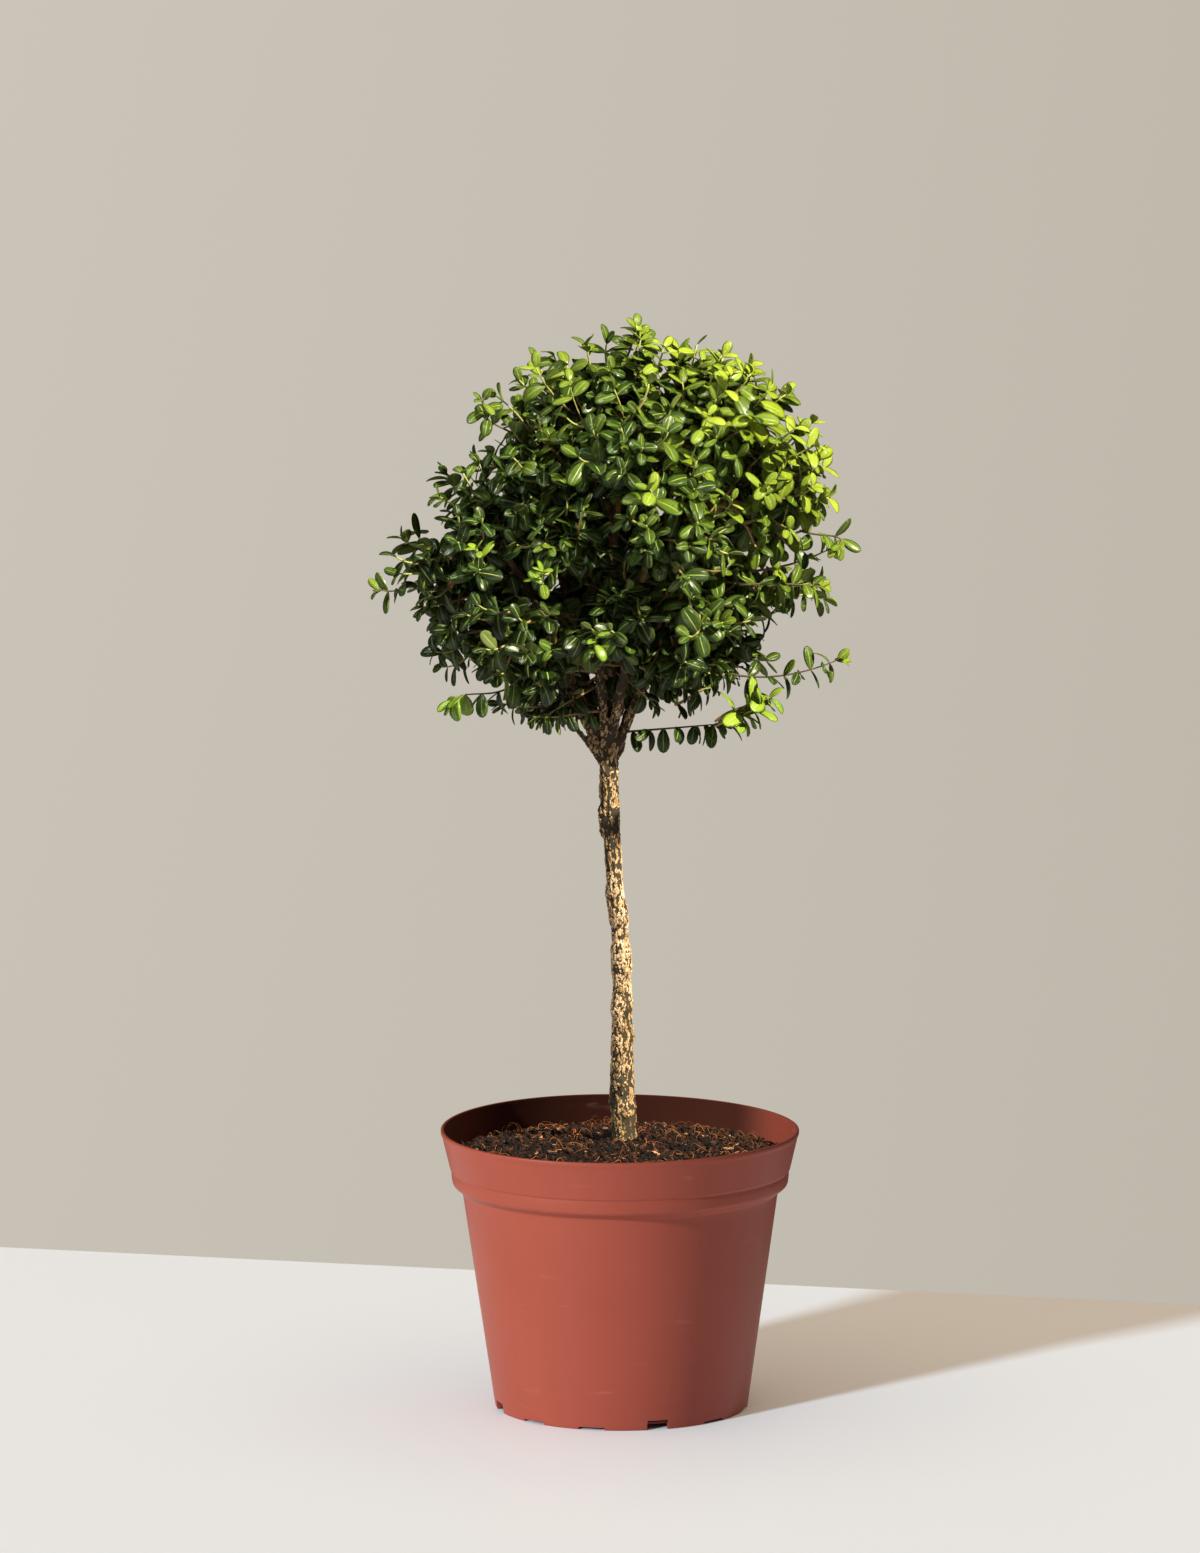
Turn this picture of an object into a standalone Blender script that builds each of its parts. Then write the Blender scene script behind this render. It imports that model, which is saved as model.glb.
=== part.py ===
"""Potted boxwood topiary: a nursery pot, its potting soil, the trunk with its limbs, the leafy
clumps of the crown, one for each limb's end, and the stray shoots that stand out of the crown.

Metres, +Z up. The origin is on the pot's axis, on the surface that the pot stands on.
"""

import math

import bmesh
import bpy
from mathutils import Matrix, Vector, noise
from mathutils.bvhtree import BVHTree

# ---------------------------------------------------------------- driving dimensions
CLEARANCE = 0.0003  # between two pieces that touch

# Pot: a thin moulded shell with a deep band under its lip
POT_HEIGHT = 0.169
RIM_RADIUS = 0.108
BAND_DEPTH = 0.032
BAND_TAPER = 0.0060  # how much narrower the band's foot is than its top
SHOULDER_HEIGHT = 0.007  # from the band's foot down to the body
BODY_TOP_RADIUS = 0.0946
FOOT_RADIUS = 0.0766
WALL = 0.0018
LIP_PROUD = 0.0010  # how far the lip stands out from the band
LIP_WIDTH = 0.0028
LIP_HEIGHT = 0.0040
LIP_ROUNDING = 0.0008
SHOULDER_ROUNDING = 0.0016
FLOOR_RAISE = 0.0025  # the floor stands on a foot ring
FLOOR_THICKNESS = 0.0018
FOOT_WIDTH = 0.0026
POT_SEGMENTS = 72

# Notches round the foot: every third is tall and drains the floor's edge, the rest are low slots
NOTCHES = 12
NOTCHES_TO_A_TALL_ONE = 3
FIRST_NOTCH_ANGLE = math.radians(-73)
TALL_NOTCH_WIDTH = 0.0120
DRAIN_ABOVE_FLOOR = 0.0013  # how far a tall notch opens above the floor's top
LOW_NOTCH_WIDTH = 0.0170
LOW_NOTCH_HEIGHT = 0.0015
NOTCH_DEPTH = 0.0060

# Soil: a slightly heaped, crumbly surface a little under the lip
SOIL_EDGE_BELOW_RIM = 0.0135
SOIL_HEAP = 0.0060
SOIL_LUMP = 0.0014
SOIL_LUMPS_PER_METRE = 60
SOIL_RINGS = 7
SOIL_SEGMENTS = 36

# Trunk: x, y, height above the pot's lip, radius. It leans a little and bends back under the crown
BURIED_DEPTH = 0.045
TRUNK_SIDES = 12
TRUNK_ROUTE = [
    (0.0028, 0.000, -0.009, 0.0072),
    (0.0022, 0.000, 0.011, 0.0071),
    (0.0016, 0.001, 0.035, 0.0074),
    (0.0014, 0.001, 0.053, 0.0070),
    (0.0012, 0.002, 0.081, 0.0061),
    (0.0006, 0.002, 0.111, 0.0058),
    (-0.0012, 0.001, 0.134, 0.0056),
    (-0.0036, 0.000, 0.157, 0.0055),
    (-0.0050, -0.001, 0.177, 0.0056),
    (-0.0062, -0.001, 0.197, 0.0060),
    (-0.0068, 0.000, 0.215, 0.0062),
    (-0.0070, 0.000, 0.233, 0.0058),
]

# Crown: two rounded masses, the larger up and to the right, each an offset from the centre and its radii
CROWN_ABOVE_TRUNK = 0.128
CROWN_RIGHT_OF_TRUNK = 0.003
MAIN_MASS = (Vector((0.025, 0.000, 0.016)), Vector((0.110, 0.112, 0.106)))
SIDE_MASS = (Vector((-0.068, -0.006, -0.022)), Vector((0.068, 0.082, 0.064)))
CORE_RADIUS = 0.020  # the crown is open twigs round its axis
CLUMP_RADIUS = 0.047
CLUMP_LUMP = 0.004
CLUMP_LUMPS_PER_METRE = 38
# Each ring of clumps: name, how many, elevation, how much higher its right side is, first azimuth
CLUMP_RINGS = [
    ("low", 7, math.radians(-34), math.radians(0), math.radians(-90)),
    ("middle", 7, math.radians(6), math.radians(12), math.radians(-64)),
    ("high", 6, math.radians(44), math.radians(4), math.radians(-80)),
    ("top", 1, math.radians(88), 0.0, 0.0),
]

# Limbs: they leave the trunk close together and arch out to the clumps
LIMB_SIDES = 8
BRANCH_SIDES = 6
LIMB_STEPS = 8
BRANCH_STEPS = 5
FORK_HEIGHT = 0.016  # the stretch of trunk that the limbs leave from
LIMB_RISE = 0.030
LEADER_RISE = 0.050
BRANCH_RISE = 0.013
ARCH_START_OUT = 0.30  # share of a limb's reach that its rising start covers
ARCH_END_OUT = 0.30  # share that its flattening end covers
ARCH_END_DROP = 0.35  # of its rise
LIMB_RADIUS = 0.0034
LIMB_END_RADIUS = 0.0020
BRANCH_RADIUS = 0.0022
BRANCH_END_RADIUS = 0.0015
LEADER_RADIUS = 0.0044
LOW_BRANCH_STEP = 3  # the point of its limb that a low branch leaves from
HIGH_BRANCH_STEP = 5  # the highest point of the leader that a branch leaves from
CLUMP_REACH = 0.80  # how far out along its clump's line a limb runs

# Leaves
LEAF_LENGTH = 0.0175
LEAF_WIDTH = 0.0085
LEAF_THICKNESS = 0.0010
LEAF_PAIR_GAP = 0.0105
SHOOT_RADIUS = 0.0008
SHOOT_TAPER = 1.4
SHOOT_SIDES = 6
LEAF_GAP = 0.0015  # least space between a stray leaf and a clump or a limb

# Stray shoots: name, what carries it, where on the carrier, the stem's bend and tip from there, and the
# share of the stem that is bare. A clump carries one in a direction, a limb at a share of its own length.
STRAY_SHOOTS = [
    ("long_low_right_shoot", ("low", 1), (0.30, -0.12, -0.94),
     (0.034, -0.010, -0.004), (0.073, -0.012, 0.012), 0.36),
    ("lowest_right_shoot", ("limb", 1), 0.14,
     (0.022, -0.014, 0.002), (0.056, -0.030, 0.008), 0.30),
    ("low_left_shoot", ("low", 6), (-0.20, -0.10, -0.97),
     (-0.012, -0.006, -0.008), (-0.030, -0.012, -0.002), 0.25),
    ("upper_right_shoot", ("middle", 1), (0.75, -0.35, -0.56),
     (0.010, 0.000, -0.001), (0.021, 0.003, 0.003), 0.10),
    ("middle_right_shoot", ("low", 1), (0.90, -0.30, 0.30),
     (0.018, 0.002, -0.004), (0.039, 0.004, -0.003), 0.25),
    ("top_shoot", ("top", 0), (0.18, -0.22, 0.96),
     (0.002, -0.001, 0.004), (0.001, -0.002, 0.010), 0.55),
    ("upper_left_shoot", ("high", 5), (-0.66, -0.20, 0.70),
     (-0.006, -0.003, 0.002), (-0.016, -0.006, 0.006), 0.15),
    ("left_tip_shoot", ("middle", 5), (-0.88, -0.10, -0.46),
     (-0.006, -0.001, -0.001), (-0.014, -0.002, 0.001), 0.10),
]
SHOOT_SEAT = 0.0100  # how deep a stem sits in the clump that carries it
SHOOT_STEPS = 8

FINISHES = {
    "pot": ((0.60, 0.20, 0.13), 0.42),
    "soil": ((0.045, 0.028, 0.018), 0.95),
    "bark": ((0.42, 0.31, 0.17), 0.85),
    "foliage": ((0.06, 0.16, 0.03), 0.50),
}


# ---------------------------------------------------------------- scene and helpers
def collection(name, parent, hidden=False):
    made = bpy.data.collections.new(name)
    parent.children.link(made)
    made.hide_render = hidden
    return made


def finish_of(name):
    if name in bpy.data.materials:
        return bpy.data.materials[name]
    colour, roughness = FINISHES[name]
    made = bpy.data.materials.new(name)
    made.use_nodes = True
    shader = made.node_tree.nodes["Principled BSDF"]
    shader.inputs["Base Color"].default_value = (*colour, 1.0)
    shader.inputs["Roughness"].default_value = roughness
    shader.inputs["Metallic"].default_value = 0.0
    return made


def object_from(name, mesh, home, finish=None):
    made = bpy.data.objects.new(name, mesh)
    home.objects.link(made)
    if finish:
        mesh.materials.append(finish_of(finish))
    return made


def mesh_from(name, build):
    """A mesh from a bmesh that build fills, with doubles merged and normals facing out."""
    work = bmesh.new()
    build(work)
    bmesh.ops.remove_doubles(work, verts=work.verts, dist=1e-6)
    bmesh.ops.recalc_face_normals(work, faces=work.faces)
    mesh = bpy.data.meshes.new(name)
    work.to_mesh(mesh)
    work.free()
    return mesh


def as_cutter(item):
    item.hide_render = True
    item.display_type = "WIRE"
    return item


def boolean(item, other, operation):
    step = item.modifiers.new(operation.lower() + "_" + other.name, "BOOLEAN")
    step.operation = operation
    step.solver = "EXACT"
    step.object = other


def baked(item, name=None):
    """Replaces an object's mesh by its evaluated one, and drops its modifiers."""
    bpy.context.view_layer.update()
    graph = bpy.context.evaluated_depsgraph_get()
    mesh = bpy.data.meshes.new_from_object(item.evaluated_get(graph))
    item.modifiers.clear()
    item.data = mesh
    item.name = name or item.name
    return item


def smooth(item, angle=40):
    item.data.shade_smooth()
    item.data.set_sharp_from_angle(angle=math.radians(angle))


# ---------------------------------------------------------------- pot
BAND_FOOT_Z = POT_HEIGHT - BAND_DEPTH
BAND_FOOT_RADIUS = RIM_RADIUS - LIP_PROUD - BAND_TAPER
STEP_Z = BAND_FOOT_Z - SHOULDER_HEIGHT
FLOOR_TOP_Z = FLOOR_RAISE + FLOOR_THICKNESS


def body_radius(z):
    """Outside radius of the pot's tapered body at height z."""
    return FOOT_RADIUS + (BODY_TOP_RADIUS - FOOT_RADIUS) * z / STEP_Z


def band_radius(z):
    """Outside radius of the band under the lip at height z."""
    return BAND_FOOT_RADIUS + BAND_TAPER * (z - BAND_FOOT_Z) / BAND_DEPTH


def inner_profile(inset):
    """The pot's inside from its floor's edge to its lip, moved in by inset, bottom to top."""
    off = WALL + inset
    floor_z = FLOOR_TOP_Z + inset
    return [
        (body_radius(floor_z) - off, floor_z),
        (BODY_TOP_RADIUS - off, STEP_Z),
        (BAND_FOOT_RADIUS - off, BAND_FOOT_Z),
        (band_radius(POT_HEIGHT - LIP_HEIGHT) - off, POT_HEIGHT - LIP_HEIGHT),
    ]


def pot_profile():
    """Half section, from the axis on the floor's top, up the inside, over the lip and down the outside."""
    inner_lip = RIM_RADIUS - LIP_WIDTH
    lip_foot_z = POT_HEIGHT - LIP_HEIGHT
    outside = [
        (inner_lip, POT_HEIGHT - LIP_ROUNDING),
        (inner_lip + LIP_ROUNDING, POT_HEIGHT),
        (RIM_RADIUS - LIP_ROUNDING, POT_HEIGHT),
        (RIM_RADIUS, POT_HEIGHT - LIP_ROUNDING),
        (RIM_RADIUS, lip_foot_z + LIP_ROUNDING),
        (band_radius(lip_foot_z), lip_foot_z),
        (BAND_FOOT_RADIUS, BAND_FOOT_Z),
        (BAND_FOOT_RADIUS - SHOULDER_ROUNDING, BAND_FOOT_Z - SHOULDER_ROUNDING),
        (BODY_TOP_RADIUS, STEP_Z),
        (FOOT_RADIUS, 0.0),
        (FOOT_RADIUS - FOOT_WIDTH, 0.0),
        (FOOT_RADIUS - FOOT_WIDTH, FLOOR_RAISE),
        (0.0, FLOOR_RAISE),
    ]
    return [(0.0, FLOOR_TOP_Z)] + inner_profile(0.0) + outside


def turned(name, profile, segments, home, finish=None):
    """A profile of (radius, height) turned round the Z axis."""
    mesh = bpy.data.meshes.new(name)
    points = [(r, 0.0, z) for r, z in profile]
    mesh.from_pydata(points, [(i, i + 1) for i in range(len(points) - 1)], [])
    item = object_from(name, mesh, home, finish)
    screw = item.modifiers.new("turn", "SCREW")
    screw.axis = "Z"
    screw.steps = segments
    screw.render_steps = segments
    screw.use_merge_vertices = True
    screw.merge_threshold = 1e-5
    return baked(item)


def notch_cutter(home):
    """Blocks that cut the foot ring; the tall ones reach through the corner of wall and floor."""
    def build(work):
        for index in range(NOTCHES):
            tall = index % NOTCHES_TO_A_TALL_ONE == 0
            width = TALL_NOTCH_WIDTH if tall else LOW_NOTCH_WIDTH
            height = FLOOR_TOP_Z + DRAIN_ABOVE_FLOOR if tall else LOW_NOTCH_HEIGHT
            turn = Matrix.Rotation(FIRST_NOTCH_ANGLE + index * math.tau / NOTCHES, 4, "Z")
            place = turn @ Matrix.Translation((0.0, -FOOT_RADIUS, 0.0))
            size = Matrix.Diagonal((width, 2 * NOTCH_DEPTH, 2 * height, 1.0))
            bmesh.ops.create_cube(work, size=1.0, matrix=place @ size)

    return as_cutter(object_from("foot_notches", mesh_from("foot_notches", build), home))


def make_pot(parts, cutters):
    pot = turned("nursery_pot", pot_profile(), POT_SEGMENTS, parts, "pot")
    boolean(pot, notch_cutter(cutters), "DIFFERENCE")
    smooth(baked(pot))


# ---------------------------------------------------------------- soil
def soil_top(x, y, edge_radius):
    """Height of the soil's surface: a low heap with lumps that die out at the pot's wall."""
    share = min(1.0, math.hypot(x, y) / edge_radius)
    lumps = noise.noise(Vector((x, y, 0.0)) * SOIL_LUMPS_PER_METRE)
    heap = SOIL_HEAP * (1 - share**2) + SOIL_LUMP * lumps * (1 - share**6)
    return POT_HEIGHT - SOIL_EDGE_BELOW_RIM + heap


def make_soil(parts, wood_cutter):
    """The soil fills the pot's inside up to the heap, and has a socket for the buried trunk."""
    edge_z = POT_HEIGHT - SOIL_EDGE_BELOW_RIM
    sides = [point for point in inner_profile(CLEARANCE) if point[1] < edge_z]
    edge_radius = band_radius(edge_z) - WALL - CLEARANCE
    top = [(edge_radius * k / SOIL_RINGS, edge_z) for k in range(SOIL_RINGS + 1)]
    profile = top + sides[::-1] + [(0.0, FLOOR_TOP_Z + CLEARANCE)]
    soil = turned("potting_soil", profile, SOIL_SEGMENTS, parts, "soil")
    for vertex in soil.data.vertices:
        if abs(vertex.co.z - edge_z) < 1e-6:
            vertex.co.z = soil_top(vertex.co.x, vertex.co.y, edge_radius)
    boolean(soil, wood_cutter, "DIFFERENCE")
    smooth(baked(soil))


# ---------------------------------------------------------------- crown
def trunk_point(spot):
    """A point of the trunk's route in the part's own frame."""
    x, y, above_lip, _ = spot
    return Vector((x, y, POT_HEIGHT + above_lip))


TRUNK_TOP = trunk_point(TRUNK_ROUTE[-1])
CROWN_CENTRE = TRUNK_TOP + Vector((CROWN_RIGHT_OF_TRUNK, 0.0, CROWN_ABOVE_TRUNK))


def mass_reach(direction, mass):
    """Distance from the crown's centre, along direction, to the far side of a rounded mass."""
    offset, radii = mass
    start = Vector([-offset[i] / radii[i] for i in range(3)])
    step = Vector([direction[i] / radii[i] for i in range(3)])
    a, b, c = step.dot(step), start.dot(step), start.dot(start) - 1
    under = b * b - a * c
    return (-b + math.sqrt(under)) / a if under > 0 else 0.0


def crown_reach(direction):
    return max(mass_reach(direction, MAIN_MASS), mass_reach(direction, SIDE_MASS))


def direction_of(azimuth, elevation):
    level = math.cos(elevation)
    return Vector((level * math.cos(azimuth), level * math.sin(azimuth), math.sin(elevation)))


def clump_centres():
    """The centre of each clump by (ring, index): it touches the crown's outline from inside."""
    found = {}
    for ring, count, elevation, tilt, first in CLUMP_RINGS:
        for index in range(count):
            azimuth = first + index * math.tau / count
            direction = direction_of(azimuth, elevation + tilt * math.cos(azimuth))
            reach = crown_reach(direction) - CLUMP_RADIUS
            found[ring, index] = CROWN_CENTRE + direction * reach
    return found


def keep_side(work, point, normal):
    """Cuts the mesh flat at a plane, keeps the side that the normal points away from, and closes it."""
    cut = bmesh.ops.bisect_plane(
        work, geom=work.verts[:] + work.edges[:] + work.faces[:], dist=1e-7,
        plane_co=point, plane_no=normal, clear_outer=True)
    edges = [item for item in cut["geom_cut"] if isinstance(item, bmesh.types.BMEdge)]
    if edges:
        bmesh.ops.holes_fill(work, edges=edges)


def clump_mesh(name, centre, others):
    """A lumpy ball, flat halfway to each neighbour, less the clearance, and flat at the open core."""
    def build(work):
        bmesh.ops.create_icosphere(work, subdivisions=3, radius=CLUMP_RADIUS)
        for vertex in work.verts:
            lump = noise.noise((centre + vertex.co) * CLUMP_LUMPS_PER_METRE)
            vertex.co += vertex.co.normalized() * CLUMP_LUMP * lump
            vertex.co += centre
        for other in others:
            between = other - centre
            if between.length < 2 * (CLUMP_RADIUS + CLUMP_LUMP):
                halfway = centre + between / 2
                keep_side(work, halfway - between.normalized() * CLEARANCE / 2, between)
        inward = Vector((CROWN_CENTRE.x - centre.x, CROWN_CENTRE.y - centre.y, 0.0))
        if inward.length > CORE_RADIUS:
            inward.normalize()
            keep_side(work, Vector((CROWN_CENTRE.x, CROWN_CENTRE.y, 0.0)) - inward * CORE_RADIUS, inward)
        bmesh.ops.triangulate(work, faces=work.faces)

    return mesh_from(name, build)


def make_clumps(parts, centres):
    made = {}
    for (ring, index), centre in centres.items():
        name = f"{ring}_clump_{index + 1}"
        others = [other for other in centres.values() if other is not centre]
        made[ring, index] = object_from(name, clump_mesh(name, centre, others), parts, "foliage")
    return made


def cut_clumps(made, cutters):
    """Sinks the sockets of the limbs and the stray shoots into the clumps."""
    for clump in made.values():
        for cutter in cutters:
            boolean(clump, cutter, "DIFFERENCE")
        smooth(baked(clump))


# ---------------------------------------------------------------- wood
def bezier(points, share):
    """A point on the cubic curve with these four control points."""
    a, b, c, d = points
    rest = 1 - share
    return rest**3 * a + 3 * rest**2 * share * b + 3 * rest * share**2 * c + share**3 * d


def arch(start, end, rise, steps):
    """A limb's line: it starts almost upright and arches over towards its end."""
    flat = Vector((end.x - start.x, end.y - start.y, 0.0))
    first = start + Vector((0, 0, rise)) + flat * ARCH_START_OUT
    second = end - Vector((0, 0, rise * ARCH_END_DROP)) - flat * ARCH_END_OUT
    return [bezier((start, first, second, end), k / steps) for k in range(steps + 1)]


def tube(name, points, radii, sides, home):
    """A round stem along points, its radius set at each, with closed ends."""
    curve = bpy.data.curves.new(name, "CURVE")
    curve.dimensions = "3D"
    curve.bevel_mode = "ROUND"
    curve.bevel_depth = 1.0
    curve.bevel_resolution = sides // 2 - 2
    curve.use_fill_caps = True
    spline = curve.splines.new("POLY")
    spline.points.add(len(points) - 1)
    for spot, point, radius in zip(spline.points, points, radii):
        spot.co = (*point, 1.0)
        spot.radius = radius
    item = bpy.data.objects.new(name, curve)
    home.objects.link(item)
    bpy.context.view_layer.update()
    graph = bpy.context.evaluated_depsgraph_get()
    work = bmesh.new()
    work.from_mesh(item.evaluated_get(graph).to_mesh())
    bmesh.ops.remove_doubles(work, verts=work.verts, dist=1e-6)
    bmesh.ops.recalc_face_normals(work, faces=work.faces)
    mesh = bpy.data.meshes.new(name)
    work.to_mesh(mesh)
    work.free()
    bpy.data.objects.remove(item)
    return object_from(name, mesh, home)


def tapered(start, end, count):
    return [start + (end - start) * k / (count - 1) for k in range(count)]


def limb_lines(centres):
    """The points, end radii and sides of every limb and branch above the trunk, by name and number."""
    counts = {ring: count for ring, count, *_ in CLUMP_RINGS}

    def into(ring, index):
        return CROWN_CENTRE + (centres[ring, index] - CROWN_CENTRE) * CLUMP_REACH

    lines = {}
    fork = TRUNK_TOP - Vector((0, 0, FORK_HEIGHT / 2))
    leader = arch(fork, into("top", 0), LEADER_RISE, LIMB_STEPS)
    lines["leader", 0] = (leader, LEADER_RADIUS, LIMB_END_RADIUS, LIMB_SIDES)
    for index in range(counts["middle"]):
        turn = (index * 3) % counts["middle"]  # limbs next to each other don't leave at the same height
        start = TRUNK_TOP - Vector((0, 0, FORK_HEIGHT * turn / counts["middle"]))
        limb = arch(start, into("middle", index), LIMB_RISE, LIMB_STEPS)
        lines["limb", index] = (limb, LIMB_RADIUS, LIMB_END_RADIUS, LIMB_SIDES)
    for index in range(counts["low"]):
        limb = lines["limb", index % counts["middle"]][0]
        branch = arch(limb[LOW_BRANCH_STEP], into("low", index), BRANCH_RISE, BRANCH_STEPS)
        lines["low_branch", index] = (branch, BRANCH_RADIUS, BRANCH_END_RADIUS, BRANCH_SIDES)
    for index in range(counts["high"]):
        start = leader[HIGH_BRANCH_STEP - index % 3]
        branch = arch(start, into("high", index), BRANCH_RISE, BRANCH_STEPS)
        lines["high_branch", index] = (branch, BRANCH_RADIUS, BRANCH_END_RADIUS, BRANCH_SIDES)
    return lines


def make_wood(name, lines, grow, home):
    """The trunk and everything that grew from it, as one solid. grow thickens it, for a cutter."""
    points = [trunk_point(spot) for spot in TRUNK_ROUTE]
    radii = [spot[3] + grow for spot in TRUNK_ROUTE]
    foot = points[0] - Vector((0, 0, BURIED_DEPTH + grow))
    trunk = tube(name, [foot] + points, [radii[0]] + radii, TRUNK_SIDES, home)
    for (kind, index), (line, first, last, sides) in lines.items():
        end = line[-1] + (line[-1] - line[-2]).normalized() * grow
        radii = tapered(first + grow, last + grow, len(line))
        limb = tube(f"{kind}_{index}", line[:-1] + [end], radii, sides, home)
        boolean(trunk, limb, "UNION")
        baked(trunk)
        bpy.data.objects.remove(limb)
    return trunk


# ---------------------------------------------------------------- stray shoots
def shoot_line(root, seat, bend, tip):
    """A straight seat inside the carrier, then a quadratic arc by way of bend to tip."""
    a, b, c = root, root + Vector(bend), root + Vector(tip)
    shares = [k / SHOOT_STEPS for k in range(SHOOT_STEPS + 1)]
    return seat + [(1 - t) ** 2 * a + 2 * t * (1 - t) * b + t * t * c for t in shares]


def root_of(carrier, where, lines, centres, clumps):
    """The point where a shoot leaves its carrier, and the points of its stem before that."""
    if carrier in lines:
        line = lines[carrier][0]
        along = where * (len(line) - 1)
        step = int(along)
        return line[step].lerp(line[step + 1], along - step), []
    direction = Vector(where).normalized()
    surface, *_ = solid_of(clumps[carrier]).ray_cast(centres[carrier], direction)
    return surface, [surface - direction * SHOOT_SEAT]


def leaf_matrix(base, outward, facing):
    """Places a ball of diameter 1 as a leaf: long along outward, thin along facing."""
    across = facing.cross(outward).normalized()
    normal = outward.cross(across)
    frame = Matrix((outward, across, normal)).transposed().to_4x4()
    size = Matrix.Diagonal((LEAF_LENGTH, LEAF_WIDTH, LEAF_THICKNESS, 1.0))
    return Matrix.Translation(base + outward * LEAF_LENGTH * 0.46) @ frame @ size


def is_clear(points, obstacles):
    """Whether points lie outside every obstacle, and at least LEAF_GAP from it."""
    for obstacle in obstacles:
        for point in points:
            near, normal, _, distance = obstacle.find_nearest(point)
            if distance < LEAF_GAP or (point - near).dot(normal) < 0:
                return False
    return True


def leaves_of(line, leaf_start, obstacles):
    """Opposite pairs of leaves along a stem, each pair turned a quarter from the one before.

    A leaf that would touch a clump or the wood isn't made.
    """
    def build(work):
        lengths = [(b - a).length for a, b in zip(line, line[1:])]
        total = sum(lengths)
        along, pair = total * leaf_start, 0
        while along < total:
            walked, k = 0.0, 0
            while walked + lengths[k] < along:
                walked += lengths[k]
                k += 1
            way = (line[k + 1] - line[k]).normalized()
            spot = line[k] + way * (along - walked)
            side = way.cross(Vector((0, 0, 1))).normalized()
            if pair % 2:
                side = way.cross(side)
            for sign in (1, -1):
                outward = (side * sign + way * 0.55).normalized()
                matrix = leaf_matrix(spot, outward, way - outward * way.dot(outward))
                reach = [matrix @ Vector((x, y, 0)) for x in (-0.5, 0.0, 0.5) for y in (-0.4, 0.4)]
                if is_clear(reach, obstacles):
                    bmesh.ops.create_uvsphere(work, u_segments=8, v_segments=3, radius=0.5, matrix=matrix)
            along += LEAF_PAIR_GAP
            pair += 1

    return build


def solid_of(item):
    work = bmesh.new()
    work.from_mesh(item.data)
    tree = BVHTree.FromBMesh(work)
    work.free()
    return tree


def make_shoots(parts, cutters, wood_cutter, lines, centres, clumps):
    """Each shoot is a stem joined to its leaves. Returns the clearances round the stems."""
    obstacles = [solid_of(item) for item in [wood_cutter, *clumps.values()]]
    clearances = []
    for name, carrier, where, bend, tip, leaf_start in STRAY_SHOOTS:
        root, seat = root_of(carrier, where, lines, centres, clumps)
        line = shoot_line(root, seat, bend, tip)
        radii = tapered(SHOOT_RADIUS * SHOOT_TAPER, SHOOT_RADIUS, len(line))
        shoot = tube(name, line, radii, SHOOT_SIDES, parts)
        shoot.data.materials.append(finish_of("foliage"))
        leaf_mesh = mesh_from(name, leaves_of(line, leaf_start, obstacles))
        leaves = as_cutter(object_from(name + "_leaves", leaf_mesh, cutters))
        boolean(shoot, leaves, "UNION")
        shoot.modifiers[-1].use_self = True
        boolean(shoot, wood_cutter, "DIFFERENCE")
        smooth(baked(shoot))
        wide = [radius + CLEARANCE for radius in radii]
        end = line[0] - (line[1] - line[0]).normalized() * CLEARANCE
        clearances.append(as_cutter(tube(name + "_seat", [end] + line[1:], wide, SHOOT_SIDES, cutters)))
    return clearances


# ---------------------------------------------------------------- build
def main():
    for item in list(bpy.data.objects):
        bpy.data.objects.remove(item)
    root = bpy.context.scene.collection
    parts = collection("potted_boxwood_topiary", root)
    cutters = collection("cutters", root, hidden=True)
    centres = clump_centres()
    lines = limb_lines(centres)
    wood_cutter = as_cutter(make_wood("wood_clearance", lines, CLEARANCE, cutters))
    make_pot(parts, cutters)
    make_soil(parts, wood_cutter)
    trunk = make_wood("trunk_and_limbs", lines, 0.0, parts)
    trunk.data.materials.append(finish_of("bark"))
    smooth(trunk)
    clumps = make_clumps(parts, centres)
    seats = make_shoots(parts, cutters, wood_cutter, lines, centres, clumps)
    cut_clumps(clumps, [wood_cutter] + seats)


main()
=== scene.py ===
"""Looks of the potted boxwood topiary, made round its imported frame. Metres, +Z up, -Y towards the viewer."""

import itertools
import math

import bmesh
import bpy
import numpy as np
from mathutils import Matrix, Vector
from mathutils.bvhtree import BVHTree


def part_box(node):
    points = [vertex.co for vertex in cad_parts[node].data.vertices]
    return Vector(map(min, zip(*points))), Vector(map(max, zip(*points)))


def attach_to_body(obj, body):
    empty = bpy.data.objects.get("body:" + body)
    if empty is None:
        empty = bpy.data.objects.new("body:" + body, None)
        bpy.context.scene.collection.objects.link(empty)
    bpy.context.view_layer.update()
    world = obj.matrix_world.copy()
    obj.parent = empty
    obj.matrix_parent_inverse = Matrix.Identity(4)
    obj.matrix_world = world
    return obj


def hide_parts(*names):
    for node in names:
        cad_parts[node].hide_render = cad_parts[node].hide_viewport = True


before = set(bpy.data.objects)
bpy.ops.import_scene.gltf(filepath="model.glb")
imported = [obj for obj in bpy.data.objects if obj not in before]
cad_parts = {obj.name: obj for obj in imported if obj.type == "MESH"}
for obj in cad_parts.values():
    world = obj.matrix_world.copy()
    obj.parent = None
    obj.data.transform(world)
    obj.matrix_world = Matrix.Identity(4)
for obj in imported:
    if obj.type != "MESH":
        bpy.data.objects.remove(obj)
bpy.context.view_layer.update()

MM = 0.001
UP = np.array([0.0, 0.0, 1.0])


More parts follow.
